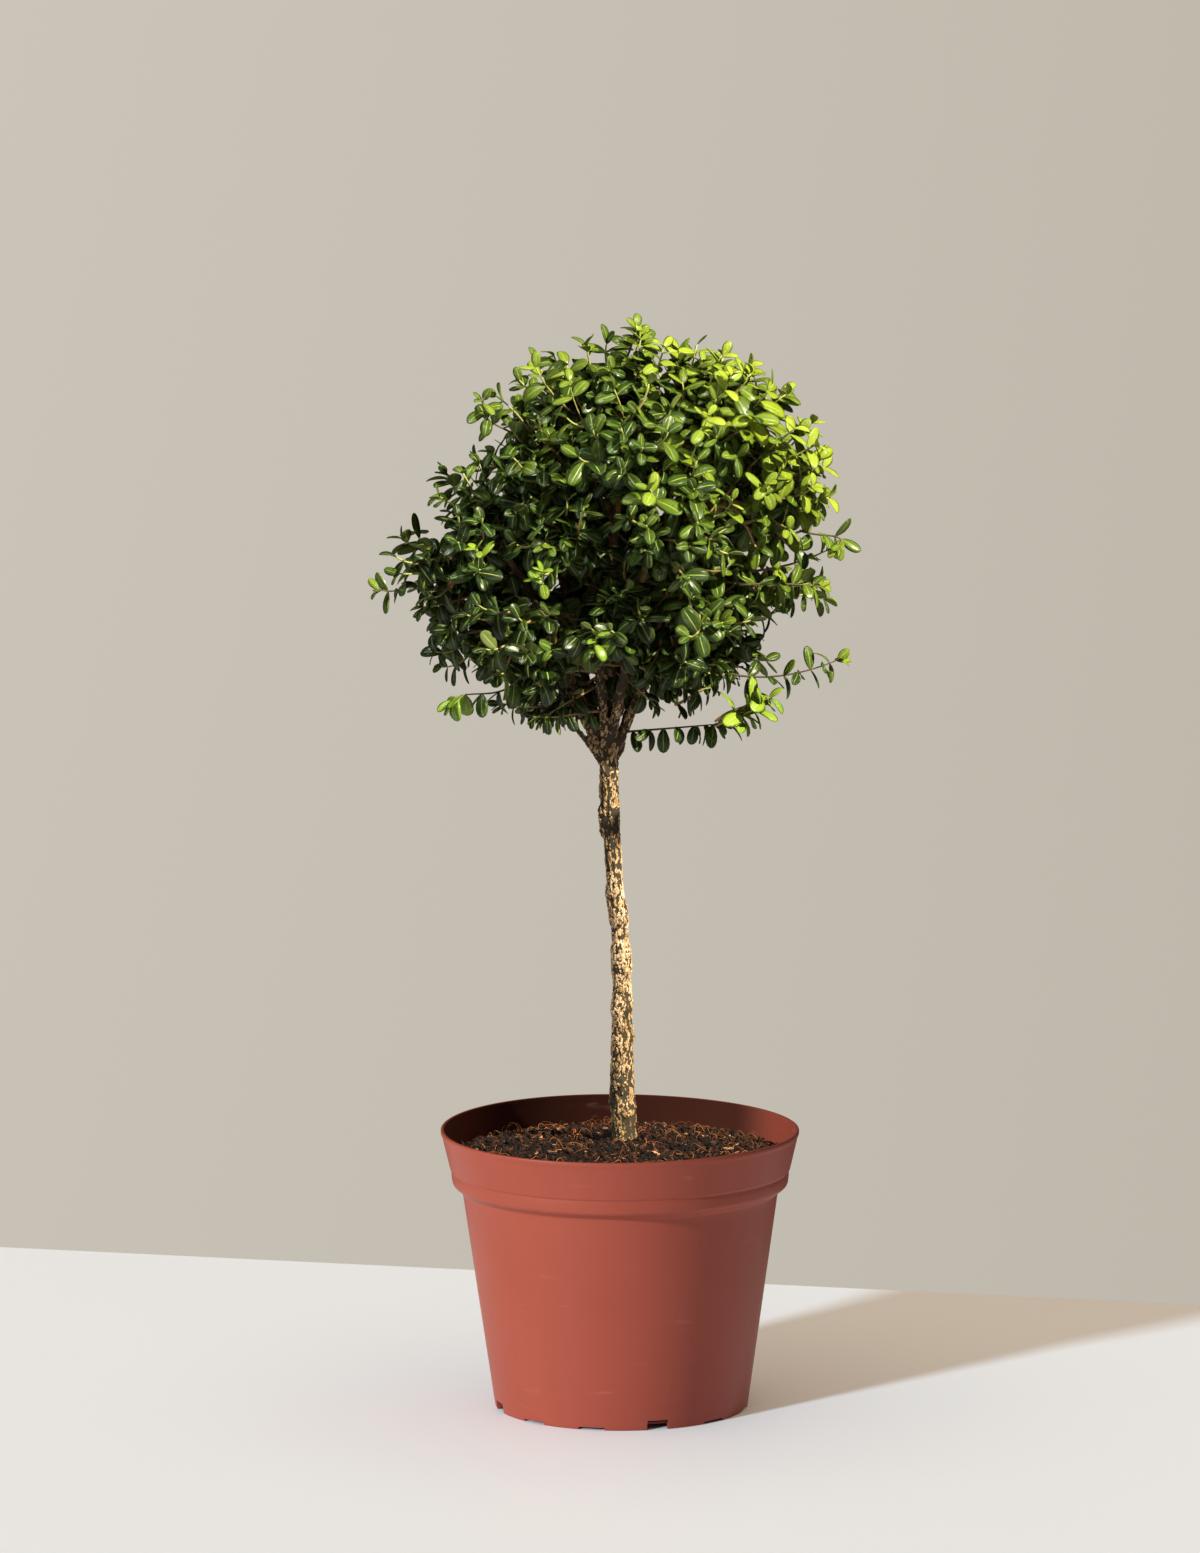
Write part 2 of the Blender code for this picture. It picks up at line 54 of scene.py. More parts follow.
# ---------------------------------------------------------------- numbers on whole arrays
def unit(vectors):
    """Each vector divided by its length."""
    return vectors / np.maximum(np.linalg.norm(vectors, axis=-1, keepdims=True), 1e-9)


def blend(a, b, share):
    return a + (b - a) * share


def step(low, high, values):
    """0 below low, 1 above high, and a smooth cubic rise between them."""
    share = np.clip((values - low) / (high - low), 0, 1)
    return share * share * (3 - 2 * share)


def cell_value(cells, seed):
    """A fixed random number from 0 to 1 for each whole-number cell, hashed from its coordinates."""
    mixed = cells.astype(np.int64) @ np.array([73856093, 19349663, 83492791]) + seed * 92837111
    mixed = (mixed ^ (mixed >> 13)) * 1274126177 & 0x7FFFFFFF
    mixed = (mixed ^ (mixed >> 15)) * 69069 & 0x7FFFFFFF
    return (mixed >> 7) / float(0x7FFFFFFF >> 7)


def noise(points, seed=0):
    """Smooth noise from -1 to 1: a value at each corner of a unit lattice, blended along the axes."""
    base = np.floor(points)
    part = points - base
    part = part * part * (3 - 2 * part)
    total = 0.0
    for corner in itertools.product((0, 1), repeat=3):
        weight = np.prod(np.where(corner, part, 1 - part), axis=-1)
        total = total + weight * cell_value(base + corner, seed)
    return total * 2 - 1


def rough_noise(points, octaves, seed=0):
    """A sum of noises, each of twice the frequency and half the height of the one before."""
    return sum(noise(points * 2**k, seed + k) / 2**k for k in range(octaves))


def plates(points, seed=0):
    """Points scattered one to a unit cell: distance to the nearest, how much further the second is, and
    a random number of the nearest."""
    base = np.floor(points)
    first = np.full(len(points), 9.0)
    second = np.full(len(points), 9.0)
    owner = np.zeros(len(points))
    for corner in itertools.product((-1, 0, 1), repeat=3):
        cell = base + corner
        spot = np.stack([cell_value(cell, seed + k) for k in (1, 2, 3)], -1)
        gap = np.linalg.norm(cell + spot - points, axis=-1)
        nearer = gap < first
        second = np.where(nearer, first, np.minimum(second, gap))
        owner = np.where(nearer, cell_value(cell, seed + 4), owner)
        first = np.minimum(first, gap)
    return first, second - first, owner


# ---------------------------------------------------------------- meshes
def new_mesh(name, points, quads, triangles=None, flat=False):
    """A mesh from arrays of points, of four corners and of three corners."""
    triangles = np.zeros((0, 3), int) if triangles is None else triangles
    mesh = bpy.data.meshes.new(name)
    mesh.vertices.add(len(points))
    mesh.vertices.foreach_set("co", np.asarray(points, np.float32).ravel())
    corners = np.concatenate([np.ravel(quads), np.ravel(triangles)]).astype(np.int32)
    mesh.loops.add(len(corners))
    mesh.loops.foreach_set("vertex_index", corners)
    starts = np.concatenate([np.arange(len(quads)) * 4, len(quads) * 4 + np.arange(len(triangles)) * 3])
    mesh.polygons.add(len(starts))
    mesh.polygons.foreach_set("loop_start", starts.astype(np.int32))
    mesh.update(calc_edges=True)
    mesh.validate()
    mesh.polygons.foreach_set("use_smooth", np.full(len(mesh.polygons), not flat))
    return mesh


def attach(mesh, name, values, domain="POINT"):
    """Stores a number on each point or face, for the materials."""
    mesh.attributes.new(name, "FLOAT", domain).data.foreach_set("value", np.asarray(values, np.float32).ravel())


def attach_uv(mesh, name, per_point):
    """Stores a pair of numbers on each point as a UV map."""
    corners = np.zeros(len(mesh.loops), np.int32)
    mesh.loops.foreach_get("vertex_index", corners)
    layer = mesh.uv_layers.new(name=name)
    layer.data.foreach_set("uv", np.asarray(per_point, np.float32)[corners].ravel())


def piece(name, mesh, material, slot, *replaced):
    """Puts a mesh in the scene as a piece of the object, standing for the CAD nodes named."""
    made = bpy.data.objects.new(name, mesh)
    bpy.context.scene.collection.objects.link(made)
    mesh.materials.clear()
    mesh.materials.append(material)
    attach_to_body(made, "root")
    if replaced:
        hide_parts(*replaced)
    return made


def grid_quads(rows, columns, closed=False):
    """Corner numbers of a grid of points, row after row. closed joins the last column to the first."""
    r = np.arange(rows - 1)[:, None]
    c = np.arange(columns if closed else columns - 1)[None]
    d = (c + 1) % columns
    corners = [r * columns + c, r * columns + d, (r + 1) * columns + d, (r + 1) * columns + c]
    return np.stack(np.broadcast_arrays(*corners), -1).reshape(-1, 4)


def repeated(corners, count, points_each):
    """The corner numbers of one shape, once for each of its copies."""
    return (corners[None] + np.arange(count)[:, None, None] * points_each).reshape(-1, corners.shape[1])


def tubes(paths, radii, sides):
    """Round stems: a ring of points about each point of each path, and a point to close each end.

    paths is (stems, points, 3) and radii is (stems, points). Returns points, quads and triangles.
    """
    count, length, _ = paths.shape
    along = unit(np.gradient(paths, axis=1))
    guide = np.where(np.abs(along[:, :1, 2:]) > 0.9, np.array([1.0, 0, 0]), UP)
    side = unit(np.cross(along, guide))
    other = np.cross(along, side)
    turn = np.arange(sides) / sides * math.tau
    ring = side[:, :, None] * np.cos(turn)[:, None] + other[:, :, None] * np.sin(turn)[:, None]
    rings = (paths[:, :, None] + ring * radii[:, :, None, None]).reshape(count, -1, 3)
    ends = paths[:, [0, -1]]
    points = np.concatenate([rings, ends], 1)
    quads = grid_quads(length, sides, closed=True)[:, ::-1]
    c = np.arange(sides)
    d = (c + 1) % sides
    last = (length - 1) * sides
    first_cap = np.stack([np.full(sides, length * sides), c, d], -1)
    last_cap = np.stack([np.full(sides, length * sides + 1), last + d, last + c], -1)
    each = points.shape[1]
    caps = repeated(np.concatenate([first_cap, last_cap])[:, ::-1], count, each)
    return points.reshape(-1, 3), repeated(quads, count, each), caps


def curve_points(corners, shares):
    """Points at these shares of cubic curves. corners is (curves, 4, 3)."""
    t = np.asarray(shares)[..., None]
    a, b, c, d = (corners[:, k, None] for k in range(4))
    return (1 - t) ** 3 * a + 3 * (1 - t) ** 2 * t * b + 3 * (1 - t) * t**2 * c + t**3 * d


def cad_triangles(node):
    """Corners of a CAD node's triangles, as (triangles, 3, 3)."""
    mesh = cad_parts[node].data
    mesh.calc_loop_triangles()
    points = np.zeros(len(mesh.vertices) * 3, np.float32)
    mesh.vertices.foreach_get("co", points)
    corners = np.zeros(len(mesh.loop_triangles) * 3, np.int32)
    mesh.loop_triangles.foreach_get("vertices", corners)
    return points.reshape(-1, 3).astype(float)[corners.reshape(-1, 3)]


# ---------------------------------------------------------------- materials
class Wire:
    """A shader socket that takes arithmetic on values: each operator adds a Math node behind it."""

    def __init__(self, maker, socket):
        self.maker = maker
        self.socket = socket

    def math(self, operation, first, second=0.0):
        return self.maker.node("ShaderNodeMath", {"operation": operation}, {0: first, 1: second})

    def __add__(self, other):
        return self.math("ADD", self, other)

    def __sub__(self, other):
        return self.math("SUBTRACT", self, other)

    def __rsub__(self, other):
        return self.math("SUBTRACT", other, self)

    def __mul__(self, other):
        return self.math("MULTIPLY", self, other)

    def __truediv__(self, other):
        return self.math("DIVIDE", self, other)

    def __pow__(self, other):
        return self.math("POWER", self, other)

    def __abs__(self):
        return self.math("ABSOLUTE", self)

    __radd__ = __add__
    __rmul__ = __mul__


class Maker:
    """Makes one material's nodes."""

    def __init__(self, name):
        self.material = bpy.data.materials.new(name)
        self.material.use_nodes = True
        self.tree = self.material.node_tree
        self.tree.nodes.clear()

    def node(self, kind, settings=None, sockets=None, output=0):
        """Adds a node: first its settings, then the values or wires of its sockets."""
        made = self.tree.nodes.new(kind)
        for key, value in (settings or {}).items():
            if key == "stops":
                self.set_stops(made.color_ramp, value)
            else:
                setattr(made, key, value)
        for key, value in (sockets or {}).items():
            if isinstance(value, Wire):
                self.tree.links.new(value.socket, made.inputs[key])
            else:
                made.inputs[key].default_value = value
        return Wire(self, made.outputs[output])

    def set_stops(self, ramp, stops):
        while len(ramp.elements) < len(stops):
            ramp.elements.new(0.5)
        for element, (place, colour) in zip(ramp.elements, stops):
            element.position = place
            element.color = (*colour, 1.0)

    def mix(self, share, a, b):
        """A colour between two colours."""
        a, b = ((*c, 1.0) if isinstance(c, tuple) else c for c in (a, b))
        return self.node("ShaderNodeMix", {"data_type": "RGBA"}, {0: share, 6: a, 7: b}, 2)

    def ramp(self, value, *stops):
        return self.node("ShaderNodeValToRGB", {"stops": stops}, {0: value})

    def between(self, value, low, high):
        """0 below low, 1 above high, smooth between."""
        settings = {"interpolation_type": "SMOOTHSTEP"}
        return self.node("ShaderNodeMapRange", settings, {0: value, 1: low, 2: high})

    def attribute(self, name):
        return self.node("ShaderNodeAttribute", {"attribute_name": name}, output=2)

    def position(self):
        return self.node("ShaderNodeTexCoord", output=3)

    def stretched(self, vector, scale):
        return self.node("ShaderNodeMapping", {}, {0: vector, 3: scale})

    def speckle(self, vector, scale, detail=3.0):
        return self.node("ShaderNodeTexNoise", {}, {"Vector": vector, "Scale": scale, "Detail": detail})

    def bump(self, height, depth, strength=1.0):
        return self.node("ShaderNodeBump", {}, {"Height": height, "Distance": depth, "Strength": strength})

    def plain(self, sockets):
        return self.node("ShaderNodeBsdfPrincipled", {}, sockets)

    def done(self, surface):
        self.node_output(surface)
        return self.material

    def node_output(self, surface):
        made = self.tree.nodes.new("ShaderNodeOutputMaterial")
        self.tree.links.new(surface.socket, made.inputs["Surface"])


def leaf_material():
    """Leathery leaf: dark to yellow green by tone, which adds painted light to random differences, bright
    when young, brown when dry, with a pale midrib and side veins above and a paler, duller underside."""
    m = Maker("boxwood_leaf")
    uv = m.node("ShaderNodeUVMap", {"uv_map": "leaf"})
    along = m.node("ShaderNodeSeparateXYZ", {}, {0: uv}, 0)
    across = m.node("ShaderNodeSeparateXYZ", {}, {0: uv}, 1)
    from_rib = abs(across - 0.5)
    tone = m.attribute("tone")
    age = m.attribute("age")
    under = m.attribute("under")
    blotch = m.speckle(m.position(), 420.0)
    ripe = m.ramp(
        tone + (blotch - 0.5) * 0.25,
        (0.0, (0.007, 0.020, 0.004)),
        (0.4, (0.020, 0.050, 0.005)),
        (0.75, (0.092, 0.146, 0.008)),
        (1.0, (0.24, 0.31, 0.010)),
    )
    young = m.mix(tone, (0.155, 0.28, 0.018), (0.33, 0.405, 0.028))
    colour = m.mix(m.between(age, 0.1, 0.95), ripe, young)
    edge = m.between(from_rib, 0.34, 0.5)
    colour = m.mix(edge * 0.4, colour, (0.20, 0.25, 0.03))
    veins = m.node("ShaderNodeMath", {"operation": "SINE"}, {0: (along * 13.0 - from_rib * 9.0) * math.tau})
    vein = m.between(veins, 0.55, 1.0)
    colour = m.mix(vein * 0.08, colour, (0.17, 0.22, 0.04))
    colour = m.mix(under, colour, m.mix(0.62, colour, (0.16, 0.20, 0.045)))
    rib = (1.0 - m.between(from_rib, 0.012, 0.045)) * (1.0 - m.between(along, 0.75, 0.98))
    colour = m.mix(rib * 0.8, colour, (0.40, 0.44, 0.10))
    dry = m.between(age * -1.0, 0.2, 0.6)
    colour = m.mix(dry, colour, m.mix(tone, (0.09, 0.03, 0.012), (0.26, 0.11, 0.04)))
    height = rib * 0.5 - vein * 0.35 + blotch * 0.4
    shine = m.plain({
        "Base Color": colour,
        "Roughness": 0.29 + under * 0.25 + (blotch - 0.5) * 0.16,
        "Normal": m.bump(height, 0.00018),
        "IOR": 1.40,
    })
    glow = m.node("ShaderNodeBsdfTranslucent", {}, {"Color": (0.30, 0.38, 0.015, 1.0)})
    return m.done(m.node("ShaderNodeMixShader", {}, {0: 0.22, 1: shine, 2: glow}))


def twig_material():
    """Twigs: green and fresh at the tips, tan and then brown further in, with a fine grain."""
    m = Maker("twig_bark")
    age = m.attribute("age")
    grain = m.speckle(m.position(), 900.0)
    wood = m.mix(grain, (0.13, 0.06, 0.022), (0.42, 0.26, 0.11))
    fresh = m.mix(grain, (0.20, 0.23, 0.04), (0.38, 0.38, 0.09))
    colour = m.mix(m.between(age, 0.55, 0.95), wood, fresh)
    colour = m.mix(m.between(age * -1.0, 0.1, 0.7), colour, m.mix(grain, (0.030, 0.022, 0.008), (0.11, 0.085, 0.025)))
    return m.done(m.plain({"Base Color": colour, "Roughness": 0.62, "Normal": m.bump(grain, 0.0004)}))


def bark_material():
    """Flaking bark: cream and tan plates over dark olive-brown gaps, with fine cracks."""
    m = Maker("flaking_bark")
    plate = m.attribute("plate")
    tint = m.attribute("tint")
    place = m.position()
    grain = m.speckle(m.stretched(place, (1.0, 1.0, 0.35)), 1400.0, 5.0)
    patch = m.speckle(place, 160.0)
    skin = m.ramp(
        tint + (patch - 0.5) * 0.6 + (grain - 0.5) * 0.35,
        (0.0, (0.11, 0.060, 0.020)),
        (0.3, (0.27, 0.152, 0.054)),
        (0.6, (0.48, 0.305, 0.150)),
        (0.85, (0.66, 0.475, 0.315)),
        (1.0, (0.76, 0.590, 0.460)),
    )
    skin = m.mix(m.between(grain, 0.50, 0.64) * 0.65, skin, (0.10, 0.052, 0.016))
    gap = m.mix(patch, (0.007, 0.004, 0.001), (0.046, 0.028, 0.007))
    shown = m.between(plate + (grain - 0.5) * 0.7, 0.20, 0.42)
    colour = m.mix(shown, gap, skin)
    return m.done(m.plain({
        "Base Color": colour,
        "Roughness": 0.78 + grain * 0.15,
        "Normal": m.bump(grain + shown * 0.6, 0.0005),
    }))


def pot_material():
    """Moulded plastic: terracotta with faint mottling, a satin sheen and fine scuffs, and painted shade
    inside."""
    m = Maker("moulded_terracotta_plastic")
    place = m.position()
    cloud = m.speckle(place, 14.0, 2.0)
    fine = m.speckle(place, 700.0, 4.0)
    flow = m.speckle(m.stretched(place, (1.0, 1.0, 0.12)), 60.0)
    inside = m.attribute("inside")
    colour = m.mix(cloud, (0.295, 0.054, 0.034), (0.345, 0.070, 0.044))
    colour = m.mix(m.between(fine, 0.66, 0.8) * 0.15, colour, (0.58, 0.22, 0.15))
    # Painted shade: the inner wall is a dark maroon, less dark at its left end.
    left = m.node("ShaderNodeSeparateXYZ", {}, {0: place}, 0) * -1.0
    painted_inner_shade = m.mix(cloud, (0.036, 0.005, 0.001), (0.052, 0.008, 0.002))
    painted_inner_shade = m.mix(m.between(left, 0.070, 0.104), painted_inner_shade, (0.19, 0.040, 0.016))
    colour = m.mix(inside, colour, painted_inner_shade)
    scuff = m.between(m.speckle(m.stretched(place, (1.0, 1.0, 5.0)), 34.0, 6.0), 0.64, 0.74)
    colour = m.mix(scuff * 0.10, colour, (0.62, 0.30, 0.22))
    rough = 0.40 + flow * 0.10 + scuff * 0.15 + (fine - 0.5) * 0.1 + inside * 0.45
    return m.done(m.plain({
        "Base Color": colour,
        "Roughness": rough,
        "Specular IOR Level": 0.26,
        "Normal": m.bump(flow * 0.6 + fine * 0.25 + cloud, 0.0006, 0.35),
    }))


def soil_material(name, dark, brown):
    """Moist peat mix: nearly black, browner by tone, with fine grit."""
    m = Maker(name)
    tone = m.attribute("tone")
    grit = m.speckle(m.position(), 1100.0, 5.0)
    colour = m.mix(m.between(tone + (grit - 0.5) * 0.6, 0.1, 1.0), dark, brown)
    return m.done(m.plain({
        "Base Color": colour,
        "Roughness": 0.55 + grit * 0.35,
        "Specular IOR Level": 0.15,
        "Normal": m.bump(grit, 0.0006),
    }))


# ---------------------------------------------------------------- pot
def rounded(corners, steps=5):
    """A line with its corners rounded. A corner is (r, z, size): the rounding starts and ends size
    away from it, and each rounding is a quadratic arc."""
    line = []
    last = len(corners) - 1
    for k, (r, z, size) in enumerate(corners):
        here = np.array([r, z])
        if size == 0 or k in (0, last):
            line.append(here[None])
            continue
        before = here + unit(np.array(corners[k - 1][:2]) - here) * size
        after = here + unit(np.array(corners[k + 1][:2]) - here) * size
        t = np.linspace(0, 1, steps)[:, None]
        line.append((1 - t) ** 2 * before + 2 * t * (1 - t) * here + t * t * after)
    return np.concatenate(line)


def make_pot(material):
    """The pot's half section turned round its axis, slightly out of true, with its foot notched."""
    low, high = (np.array(corner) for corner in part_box("nursery_pot"))
    rim = high[0]
    top = high[2]
    body = cad_triangles("nursery_pot").reshape(-1, 3)
    across = np.hypot(body[:, 0], body[:, 1])

    def radius_at(height, widest=True):
        near = np.abs(body[:, 2] - height) < 0.4 * MM
        return across[near].max() if widest else across[near].min()

    foot = radius_at(0.0)
    wall = 1.8 * MM
    band_foot_z = top - 32 * MM
    band_foot = radius_at(band_foot_z)
    step_z = band_foot_z - 7 * MM
    body_top = radius_at(step_z)
    floor_top, floor_under = 4.3 * MM, 2.5 * MM
    lip = 4 * MM
    band_top = rim - 1.0 * MM
    section = rounded([
        (0.0, floor_top, 0),
        (foot - wall - 1 * MM, floor_top, 2 * MM),
        (body_top - wall, step_z, 3 * MM),
        (band_foot - wall, band_foot_z, 2 * MM),
        (band_top - wall, top - lip, 1 * MM),
        (rim - 2.2 * MM, top, 0.7 * MM),
        (rim, top, 0.9 * MM),
        (rim - 0.1 * MM, top - 2.2 * MM, 0.7 * MM),
        (band_top + 0.1 * MM, top - lip, 0.7 * MM),
        (band_foot + 1.5 * MM, band_foot_z + 8.6 * MM, 0.5 * MM),
        (band_foot + 0.6 * MM, band_foot_z + 7.6 * MM, 0.5 * MM),
        (band_foot + 0.8 * MM, band_foot_z + 5.4 * MM, 1.6 * MM),
        (band_foot + 0.1 * MM, band_foot_z - 0.6 * MM, 1.8 * MM),
        (body_top + 0.9 * MM, step_z + 2.6 * MM, 1.3 * MM),
        (body_top + 0.1 * MM, step_z - 1.5 * MM, 1.2 * MM),
        (foot + 0.4 * MM, 4 * MM, 1 * MM),
        (foot - 0.2 * MM, 0.0, 0.7 * MM),
        (foot - 2.6 * MM, 0.0, 0.4 * MM),
        (foot - 2.6 * MM, floor_under, 0.5 * MM),
        (0.0, floor_under, 0),
    ])
    columns = 288
    turn = np.arange(columns) / columns * math.tau
    r = section[1:-1, :1]
    z = section[1:-1, 1:]
    share = z / top
    out = 1 + share**2 * (0.0016 * np.cos(2 * turn + 0.6) + 0.0007 * np.cos(5 * turn + 2.0))
    level = z + share**4 * (0.0005 * np.cos(2 * turn + 1.4) + 0.0018 * (0.5 + 0.5 * np.sin(turn)) ** 2)
    lean = 1.0 * MM * (1 - share)
    rings = np.stack([r * out * np.cos(turn) + lean, r * out * np.sin(turn), level], -1).reshape(-1, 3)
    points = np.concatenate([rings, [[0, 0, floor_top], [0, 0, floor_under]]])
    rows = len(section) - 2
    quads = grid_quads(rows, columns, closed=True)
    c = np.arange(columns)
    d = (c + 1) % columns
    hub, base = rows * columns, rows * columns + 1
    last = (rows - 1) * columns
    caps = np.concatenate([
        np.stack([np.full(columns, hub), d, c], -1),
        np.stack([np.full(columns, base), last + c, last + d], -1),
    ])
    mesh = new_mesh("moulded_pot", points, quads, caps)
    outwards(mesh)
    pot = piece("moulded_pot", mesh, material, "pot", "nursery_pot")
    cut = pot.modifiers.new("foot_notches", "BOOLEAN")
    cut.solver = "EXACT"
    cut.object = notch_cutter(foot, floor_top)
    apply_all(pot)
    bpy.data.objects.remove(bpy.data.objects["foot_notches"])
    pot.data.set_sharp_from_angle(angle=math.radians(38))
    points, normals = points_and_normals(pot.data)
    facing = np.sum(normals[:, :2] * unit(points[:, :2]), 1)
    # Painted shade on the inner wall: full at the back, weaker at the right end where the key light falls, and weaker
    # at the left end.
    painted_inner_shade = 1 - 0.65 * step(0.070, 0.098, points[:, 0]) - 0.30 * step(0.05, 0.10, -points[:, 0])
    attach(pot.data, "inside", step(0.1, 0.7, -facing) * (points[:, 2] > floor_top) * painted_inner_shade)


def notch_cutter(foot, floor_top):
    """Twelve blocks round the foot ring. Every third is tall and opens above the floor."""
    work = bmesh.new()
    for index in range(12):
        tall = index % 3 == 0
        angle = math.radians(-73 + 30 * index)
        middle = np.array([math.sin(angle), -math.cos(angle), 0.0])
        side = np.array([math.cos(angle), math.sin(angle), 0.0])
        half = (6.8 if tall else 8.5) * MM
        height = floor_top + 1.6 * MM if tall else 1.7 * MM
        corners = []
        for x, y, z in itertools.product((-1, 1), (-1, 1), (-1, 1)):
            spot = middle * (foot + y * 6 * MM) + side * x * half * (1 - 0.06 * (z > 0))
            corners.append(work.verts.new((*spot[:2], z * height)))
        bmesh.ops.convex_hull(work, input=corners)
    mesh = bpy.data.meshes.new("foot_notches")
    work.to_mesh(mesh)
    work.free()
    cutter = bpy.data.objects.new("foot_notches", mesh)
    bpy.context.scene.collection.objects.link(cutter)
    return cutter


def points_and_normals(mesh):
    points = np.zeros(len(mesh.vertices) * 3, np.float32)
    normals = np.zeros(len(mesh.vertices) * 3, np.float32)
    mesh.vertices.foreach_get("co", points)
    mesh.vertex_normals.foreach_get("vector", normals)
    return points.reshape(-1, 3).astype(float), normals.reshape(-1, 3).astype(float)


def outwards(mesh):
    """Turns every face of a closed mesh to point out."""
    work = bmesh.new()
    work.from_mesh(mesh)
    bmesh.ops.recalc_face_normals(work, faces=work.faces)
    work.to_mesh(mesh)
    work.free()


def apply_all(item):
    """Replaces an object's mesh by the one that its modifiers make."""
    bpy.context.view_layer.update()
    graph = bpy.context.evaluated_depsgraph_get()
    mesh = bpy.data.meshes.new_from_object(item.evaluated_get(graph))
    item.modifiers.clear()
    item.data = mesh


# ---------------------------------------------------------------- soil
SOIL_SEED = 41


def soil_height(x, y, edge, level):
    """The heap: highest at the stem and a little lumpy, with crumbs of two sizes on it."""
    spot = np.stack([x, y, np.zeros_like(x)], -1)
    share = np.clip(np.hypot(x, y) / edge, 0, 1)
    heap = 9.5 * MM * (1 - share**1.6) - 2.8 * MM
    lumps = 1.2 * MM * noise(spot * 60, SOIL_SEED) + 1.0 * MM * noise(spot * 130, SOIL_SEED + 1)
    near, split, own = plates(spot * 260, SOIL_SEED + 2)
    crumbs = 1.1 * MM * own * step(0.0, 0.5, split)
    fine = 0.35 * MM * noise(spot * 1100, SOIL_SEED + 3)
    return level + heap + (lumps + crumbs + fine) * (1 - share**10)


def make_soil(material, crumb_material, fibre_material, chip_material):
    low, high = (np.array(corner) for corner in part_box("potting_soil"))
    body = cad_triangles("potting_soil").reshape(-1, 3)
    across = np.hypot(body[:, 0], body[:, 1])
    edge = across.max()
    level = body[across > edge - 0.2 * MM, 2].max()
    rings, columns = 150, 360
    turn = np.arange(columns) / columns * math.tau
    r = edge * np.linspace(0, 1, rings + 1)[1:, None] ** 0.8
    x, y = r * np.cos(turn), r * np.sin(turn)
    top = np.stack([x, y, soil_height(x.ravel(), y.ravel(), edge, level).reshape(x.shape)], -1)
    heights = np.unique(body[(across > 0.6 * edge) & (body[:, 2] < level - 1 * MM), 2].round(4))[::-1]
    reach = np.array([across[np.abs(body[:, 2] - height) < 0.1 * MM].max() for height in heights])
    sides = np.stack(np.broadcast_arrays(
        reach[:, None] * np.cos(turn), reach[:, None] * np.sin(turn), heights[:, None]), -1)
    peak = float(soil_height(np.zeros(1), np.zeros(1), edge, level)[0])
    points = np.concatenate([top.reshape(-1, 3), sides.reshape(-1, 3), [[0, 0, peak]], [[0, 0, heights[-1]]]])
    rows = rings + len(heights)
    quads = grid_quads(rows, columns, closed=True)[:, ::-1]
    c = np.arange(columns)
    d = (c + 1) % columns
    last = (rows - 1) * columns
    caps = np.concatenate([
        np.stack([np.full(columns, rows * columns), c, d], -1),
        np.stack([np.full(columns, rows * columns + 1), last + d, last + c], -1),
    ])
    mesh = new_mesh("soil_surface", points, quads, caps)
    _, _, own = plates(points * 260 * np.array([1, 1, 0]), SOIL_SEED + 2)
    attach(mesh, "tone", own * 0.6)
    piece("soil_surface", mesh, material, "soil", "potting_soil")

    rng = np.random.default_rng(SOIL_SEED)

    def scattered(count, spread=0.985):
        """Random places on the heap, outside the stem."""
        turns = rng.uniform(0, math.tau, count)
        reach = edge * spread * np.sqrt(rng.uniform(0.005, 1, count))
        px, py = reach * np.cos(turns), reach * np.sin(turns)
        return np.stack([px, py, soil_height(px, py, edge, level)], -1)

    scatter_crumbs(rng, scattered(5200), (0.5 * MM, 2.2 * MM), "soil_crumbs", crumb_material)
    scatter_crumbs(rng, scattered(300), (0.5 * MM, 1.2 * MM), "soil_flecks", chip_material)
    scatter_chips(rng, scattered(150), chip_material)
    scatter_fibres(rng, scattered(950), fibre_material)


def ball_shape():
    """An icosahedron: its points and its triangles."""
    work = bmesh.new()
    bmesh.ops.create_icosphere(work, subdivisions=1, radius=1.0)
    work.verts.ensure_lookup_table()
    points = np.array([v.co for v in work.verts])
    triangles = np.array([[v.index for v in f.verts] for f in work.faces])
    work.free()
    return points, triangles


def random_turns(rng, count):
    """Random rotation matrices, from normalised quaternions."""
    q = unit(rng.normal(size=(count, 4)))
    w, x, y, z = q.T
    return np.stack([
        np.stack([1 - 2 * (y * y + z * z), 2 * (x * y - z * w), 2 * (x * z + y * w)], -1),
        np.stack([2 * (x * y + z * w), 1 - 2 * (x * x + z * z), 2 * (y * z - x * w)], -1),
        np.stack([2 * (x * z - y * w), 2 * (y * z + x * w), 1 - 2 * (x * x + y * y)], -1),
    ], 1)


def scatter_crumbs(rng, places, sizes, name, material):
    """Lumps: icosahedra with each point pushed in or out, stretched and turned at random."""
    shape, triangles = ball_shape()
    count = len(places)
    size = sizes[0] + (sizes[1] - sizes[0]) * rng.random(count) ** 3
    local = shape[None] * rng.uniform(0.65, 1.25, (count, len(shape), 1)) * rng.uniform(0.6, 1.2, (count, 1, 3))
    turned = np.einsum("nij,nkj->nki", random_turns(rng, count), local)
    points = turned * size[:, None, None] + (places + UP * size[:, None] * 0.3)[:, None]
    mesh = new_mesh(name, points.reshape(-1, 3), np.zeros((0, 4), int), repeated(triangles, count, len(shape)), True)
    attach(mesh, "tone", np.repeat(rng.random(count) ** 2, len(shape)))
    piece(name, mesh, material, "soil")


